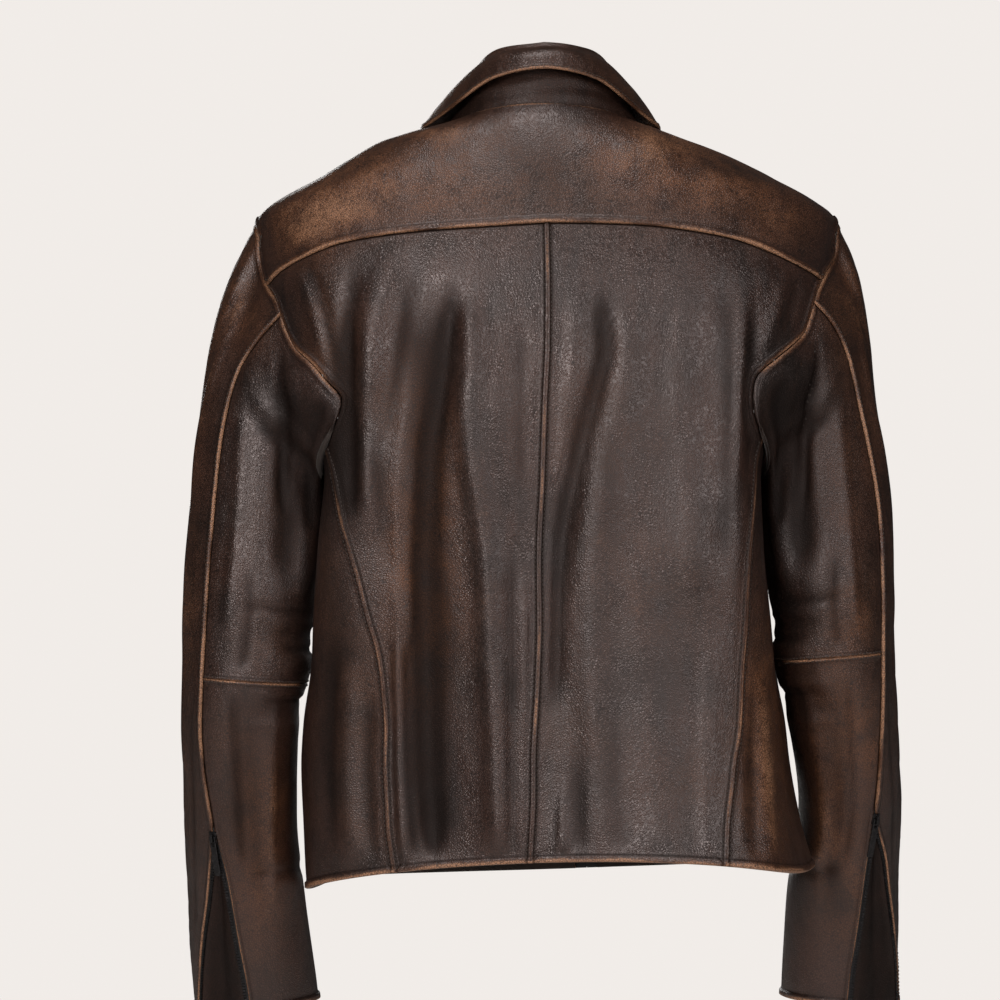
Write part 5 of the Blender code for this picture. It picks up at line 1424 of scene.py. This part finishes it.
class JACKET_OT_front_zip(bpy.types.Operator):
    """Tapes, teeth, slider and pull of the closed front."""
    bl_idname = "jacket.front_zip"
    bl_label = "Front zip"

    def execute(self, context):
        """Make the zip from the hem to the neck."""
        v = np.linspace(0, 1, 181)
        part = np.linspace(0, 1, 9)
        for side, sign in SIDES:
            outer_u, middle_u = sign * front_edge(v, ZIP_HALF), sign * front_edge(v, 0.0003)
            u = outer_u[:, None] * (1 - part) + middle_u[:, None] * part
            grid_v = np.broadcast_to(v[:, None], u.shape)
            points, normals = torso(u, grid_v), facing(torso, u, grid_v, 1)
            behind = points - normals * 0.0002
            teeth = zip_teeth("front_teeth_" + side, behind[:, -1], normals[:, -1], points[:, -1] - points[:, -2],
                              0.0 if side == "left" else 0.5)
            tape_piece("front_tape_" + side, behind, normals)
        at = np.array(np.pi), np.array(FRONT_SLIDER_V)
        slider_and_pull("front_pull", torso(*at), facing(torso, *at, 1), FRONT_PULL, "front_slider")
        return {"FINISHED"}


def cuff_zip(side):
    """Tapes and teeth along both edges of an open cuff, the folded gusset, slider and pull."""
    face = sleeve_face(side)
    s = np.linspace(ZIP_TOP[side], 1, 61)
    outer, inner = sleeve_edge(side, "outer", s), sleeve_edge(side, "inner", s)
    gap = np.linalg.norm(face.points(outer, s) - face.points(inner, s), axis=-1)
    wide = np.minimum(TAPE, gap * 0.5 - 0.0001) / gap

    def between(a, b, n):
        """Angle and s of a grid between two shares of the way across the open cuff."""
        part = np.linspace(0, 1, n + 1)[None]
        at = a[:, None] * (1 - part) + b[:, None] * part
        angle = outer[:, None] * (1 - at) + inner[:, None] * at
        return angle, np.broadcast_to(s[:, None], angle.shape)

    zero, one = np.zeros_like(s), np.ones_like(s)
    start = int(np.argmax(gap > 0.004))
    for which, grid in (("outer", between(zero, wide, 5)), ("inner", between(one, one - wide, 5))):
        normals = face.normals(*grid)
        points = face.points(*grid) - normals * 0.0006
        inward = points[:, -1] - points[:, 0]
        teeth = zip_teeth("cuff_teeth_" + which + "_" + side, points[start:, -1], normals[start:, -1], inward[start:])
        tape_piece("cuff_tape_" + which + "_" + side, points, normals)
    angle, below = (values[10:] for values in between(wide, one - wide, 40))
    points, normals = face.points(angle, below), face.normals(angle, below)
    # The gusset hangs inward as a soft fold, deeper towards the cuff, with painted shade over it that is darkest in
    # its middle
    part = np.linspace(0, np.pi, 41)[None]
    down = np.linspace(0.0017, 0.010, len(points))[:, None]
    depth = np.sin(part) * down + 0.0008 + 0.0006 * np.sin(part * 5) * down / 0.010
    base = points - normals * depth[..., None]
    inside = base - normals * bpy.context.scene.jacket_sizes.leather
    dark = np.clip(np.sin(part) * 0.9, 0, 1) * np.ones_like(down)
    marks = np.stack([dark * 0, dark * 0 + 0.05, dark * 0.4 + 0.6], axis=-1)
    made = leather_piece("gusset_" + side, base, inside, LEATHER_FINISHES, marks)
    across, long, area = flat_size(base)
    at = np.array(ZIP_TOP[side] + CUFF_SLIDER_BELOW)
    angle = (sleeve_edge(side, "outer", at) + sleeve_edge(side, "inner", at)) / 2
    slider_and_pull("cuff_pull_" + side, face.points(angle, at), face.normals(angle, at), CUFF_PULL,
                    "cuff_slider_" + side)


class JACKET_OT_cuff_zips(bpy.types.Operator):
    """Open zips of both cuffs with their gussets."""
    bl_idname = "jacket.cuff_zips"
    bl_label = "Cuff zips"

    def execute(self, context):
        """Make both cuffs' zips."""
        for side, _ in SIDES:
            cuff_zip(side)
        return {"FINISHED"}


def collar_lines(end, n):
    """u, degrees from the middle, neckline, roll and outward direction at n places between -end and end degrees."""
    u = np.linspace(radians(end), -radians(end), n)
    turn = np.degrees(np.abs(u))
    wide, deep, high = (smooth(ROLL_TURNS, sizes, turn) for sizes in (ROLL_WIDE, ROLL_DEEP, ROLL_HIGH))
    roll = np.stack([wide * np.sin(u), deep * np.cos(u), high], axis=-1)
    out = np.stack([np.sin(u), np.cos(u), np.zeros_like(u)], axis=-1)
    return u, turn, torso(u, np.ones_like(u)), roll, out


def between_rows(rows, n):
    """A fine grid smoothly through a few rows of points."""
    rows = np.stack(rows)
    at = np.linspace(0, 1, len(rows))
    flat = rows.reshape(len(rows), -1)
    return smooth(at, flat, np.linspace(0, 1, n)).reshape(n, *rows.shape[1:])


def collar_piece(name, base, normals, edges, marks):
    """A piece of the collar with its stitched edges."""
    relief, rub, dirt, glow, nearest = seam_relief(base, edges)
    small = rumple(base, (0.030, 0.030, 0.014), 5) * 0.0007 * ease(nearest, 0.001, 0.012)
    outer = base + normals * (relief + small)[..., None]
    inner = base - normals * (bpy.context.scene.jacket_sizes.leather - np.minimum(small, 0))[..., None]
    whole = np.stack([np.maximum(rub, marks[..., 0]), marks[..., 1] + glow, np.maximum(dirt, marks[..., 2])], axis=-1)
    made = leather_piece(name, outer, inner, LEATHER_FINISHES[:1], whole)
    sewn = sew(name, outer, normals, edges)
    wide, long, area = flat_size(base)


def collar_stand():
    """The stand, from the neckline up to just under the roll."""
    u, turn, neck, roll, out = collar_lines(171, 241)
    t = np.linspace(-0.06, 1, STAND_ROWS)[:, None, None]
    base = (neck * [0.995, 0.995, 1] + [0, 0, 0.0004])[None] * (1 - t) + (roll - [0, 0, 0.004])[None] * t
    base = base + out[None] * np.sin(t * np.pi) * 0.002
    fold = 0.0007 * np.sin(t[..., 0] * 19 + np.sin(u * 3)[None] * 1.2) * np.sin(t[..., 0] * np.pi)
    normals = grid_normals(base)
    normals = normals * np.sign(np.sum(normals * out[None]))
    base = base + normals * fold[..., None]
    around = turn[None] * np.ones((STAND_ROWS, 1))
    # Painted shadow of the fall on the stand: darker at the back and towards the roll
    marks = np.stack([0.10 + 0 * around, 0.15 + 0 * around, 0.45 * (1 - ease(around, 60, 120)) + 0.2 * t[..., 0]],
                     axis=-1)
    collar_piece("collar_stand", base, normals, (("low welt", base[0]),), marks)


def collar_fall():
    """The fall, from the roll down to its edge, which lies on the body at both ends."""
    u, turn, _, roll, out = collar_lines(152, 261)
    reach = smooth((0, 60, 90, 120, 152), (0.975, 0.972, 0.960, 0.935, 0.90), turn)
    lying = torso(u, reach) + facing(torso, u, reach, 1) * 0.0042
    free = np.stack([0.088 * np.sin(u), 0.086 * np.cos(u), 0.0530 - 0.026 * np.sin(u) ** 2], axis=-1)
    rest = smooth((0, 30, 85, 152), (0, 0.03, 1, 1), turn)[:, None]
    edge = free * (1 - rest) + lying * rest
    up = np.array([0, 0, 1.0])
    start = roll + out * 0.0075 - up * 0.0035
    rows = [roll - up * 0.0028, roll + out * 0.0006, roll + out * 0.0035 + up * 0.0006, start]
    for t in (0.34, 0.67, 1.0):
        lift = out * 0.003 * np.sin(np.pi * t) + up * 0.004 * np.sin(np.pi * t)
        rows.append(start * (1 - t) + edge * t + lift)
    base = between_rows(rows, FALL_ROWS)
    normals = grid_normals(base)
    normals = normals * np.sign(np.sum(normals[-1] * (out + up * 0.4)))
    t = np.linspace(0, 1, FALL_ROWS)[:, None] * np.ones((1, len(u)))
    ridge = bell((t - 0.36) / 0.16)
    side = ease(turn, 30, 90)[None]
    marks = np.stack([ridge * 0.22 + 0.10 * side, 0.22 + 0.40 * side * np.ones_like(t), 0.12 * (1 - side) + 0 * t],
                     axis=-1)
    edges = tuple(("collar edge", path) for path in (base[-1], base[44:, 0], base[44:, -1]))
    collar_piece("collar_fall", base, normals, edges, marks)


class JACKET_OT_collar(bpy.types.Operator):
    """Stand round the neck and the fall turned down over it."""
    bl_idname = "jacket.collar"
    bl_label = "Collar"

    def execute(self, context):
        """Make both pieces of the collar."""
        collar_stand()
        collar_fall()
        return {"FINISHED"}


def soft_light(name, at, width, height, power, colour):
    """A rectangular light that the camera doesn't see, aimed at the jacket."""
    lamp = bpy.data.lights.new(name, "AREA")
    lamp.shape = "RECTANGLE"
    lamp.size, lamp.size_y = width, height
    lamp.energy = power
    lamp.color = colour
    made = bpy.data.objects.new(name, lamp)
    made.location = at
    made.visible_camera = False
    made.rotation_euler = (Vector(AIM) - Vector(at)).to_track_quat("-Z", "Y").to_euler()
    bpy.context.scene.collection.objects.link(made)


def pale_floor(pale):
    """A wide floor that shows pale to the camera only."""
    mesh = bpy.data.meshes.new("studio_floor")
    mesh.from_pydata([(x * FLOOR_REACH, y * FLOOR_REACH, FLOOR_LEVEL)
                      for x, y in ((-1, -1), (1, -1), (1, 1), (-1, 1))], [], [(0, 1, 2, 3)])
    floor = bpy.data.objects.new("studio_floor", mesh)
    bpy.context.scene.collection.objects.link(floor)
    made = Shader("pale_floor")
    seen = made.node("ShaderNodeLightPath").outputs["Is Camera Ray"]
    made.set("Base Color", made.mix(made.noise(3.0, 3.0), tuple(0.97 * c for c in pale), pale))
    made.set("Roughness", 0.9)
    made.set("Emission Color", (*pale, 1.0))
    made.set("Emission Strength", made.sum("MULTIPLY", seen, FLOOR_GLOW))
    mesh.materials.append(made.material)


def pale_air(pale):
    """A world that shows pale to the camera and lights the jacket only a little."""
    world = bpy.data.worlds.new("studio_air")
    world.use_nodes = True
    tree = world.node_tree
    air = tree.nodes["Background"]
    seen = tree.nodes.new("ShaderNodeLightPath").outputs["Is Camera Ray"]
    glow = tree.nodes.new("ShaderNodeMapRange")
    glow.inputs["To Min"].default_value = AIR_LIGHT
    tree.links.new(seen, glow.inputs["Value"])
    tree.links.new(glow.outputs[0], air.inputs["Strength"])
    air.inputs["Color"].default_value = (*pale, 1.0)
    bpy.context.scene.world = world


class JACKET_OT_studio(bpy.types.Operator):
    """Pale floor, soft lights and the camera."""
    bl_idname = "jacket.studio"
    bl_label = "Studio"

    def execute(self, context):
        """Set up everything round the jacket."""
        pale = tuple(context.scene.jacket_colours.backdrop)
        pale_floor(pale)
        pale_air(pale)
        context.scene.view_settings.view_transform = "Standard"
        for light in LIGHTS:
            soft_light(*light)
        lens = bpy.data.cameras.new("photo_camera")
        lens.sensor_width = 36.0
        lens.lens = CAMERA_LENS
        camera = bpy.data.objects.new("photo_camera", lens)
        camera.location = CAMERA_PLACE
        camera.rotation_euler = (radians(90), 0, radians(180))
        context.scene.collection.objects.link(camera)
        context.scene.camera = camera
        return {"FINISHED"}


class JACKET_PT_panel(bpy.types.Panel):
    """Every piece of the jacket in the sidebar."""
    bl_idname = "JACKET_PT_panel"
    bl_label = "Worn leather jacket"
    bl_space_type = "VIEW_3D"
    bl_region_type = "UI"
    bl_category = "Jacket"

    def draw(self, context):
        """List every size and colour, then a button for each group of pieces."""
        layout = self.layout
        for group in (context.scene.jacket_sizes, context.scene.jacket_colours):
            box = layout.box()
            for key in group.__annotations__:
                box.prop(group, key)
        for operator in OPERATORS:
            layout.operator(operator.bl_idname)


OPERATORS = (JACKET_OT_studio, JACKET_OT_body, JACKET_OT_sleeves, JACKET_OT_collar, JACKET_OT_front_zip,
             JACKET_OT_cuff_zips)
CLASSES = (JacketSizes, JacketColours, *OPERATORS, JACKET_PT_panel)


def register():
    """Add the classes and the properties."""
    for kind in CLASSES:
        bpy.utils.register_class(kind)
    bpy.types.Scene.jacket_sizes = PointerProperty(type=JacketSizes)
    bpy.types.Scene.jacket_colours = PointerProperty(type=JacketColours)


def unregister():
    """Take them out again."""
    del bpy.types.Scene.jacket_colours
    del bpy.types.Scene.jacket_sizes
    for kind in reversed(CLASSES):
        bpy.utils.unregister_class(kind)


def main():
    """Build the whole scene."""
    register()
    bpy.ops.jacket.studio()
    bpy.ops.jacket.body()
    bpy.ops.jacket.sleeves()
    bpy.ops.jacket.collar()
    bpy.ops.jacket.front_zip()
    bpy.ops.jacket.cuff_zips()


if __name__ == "__main__":
    main()
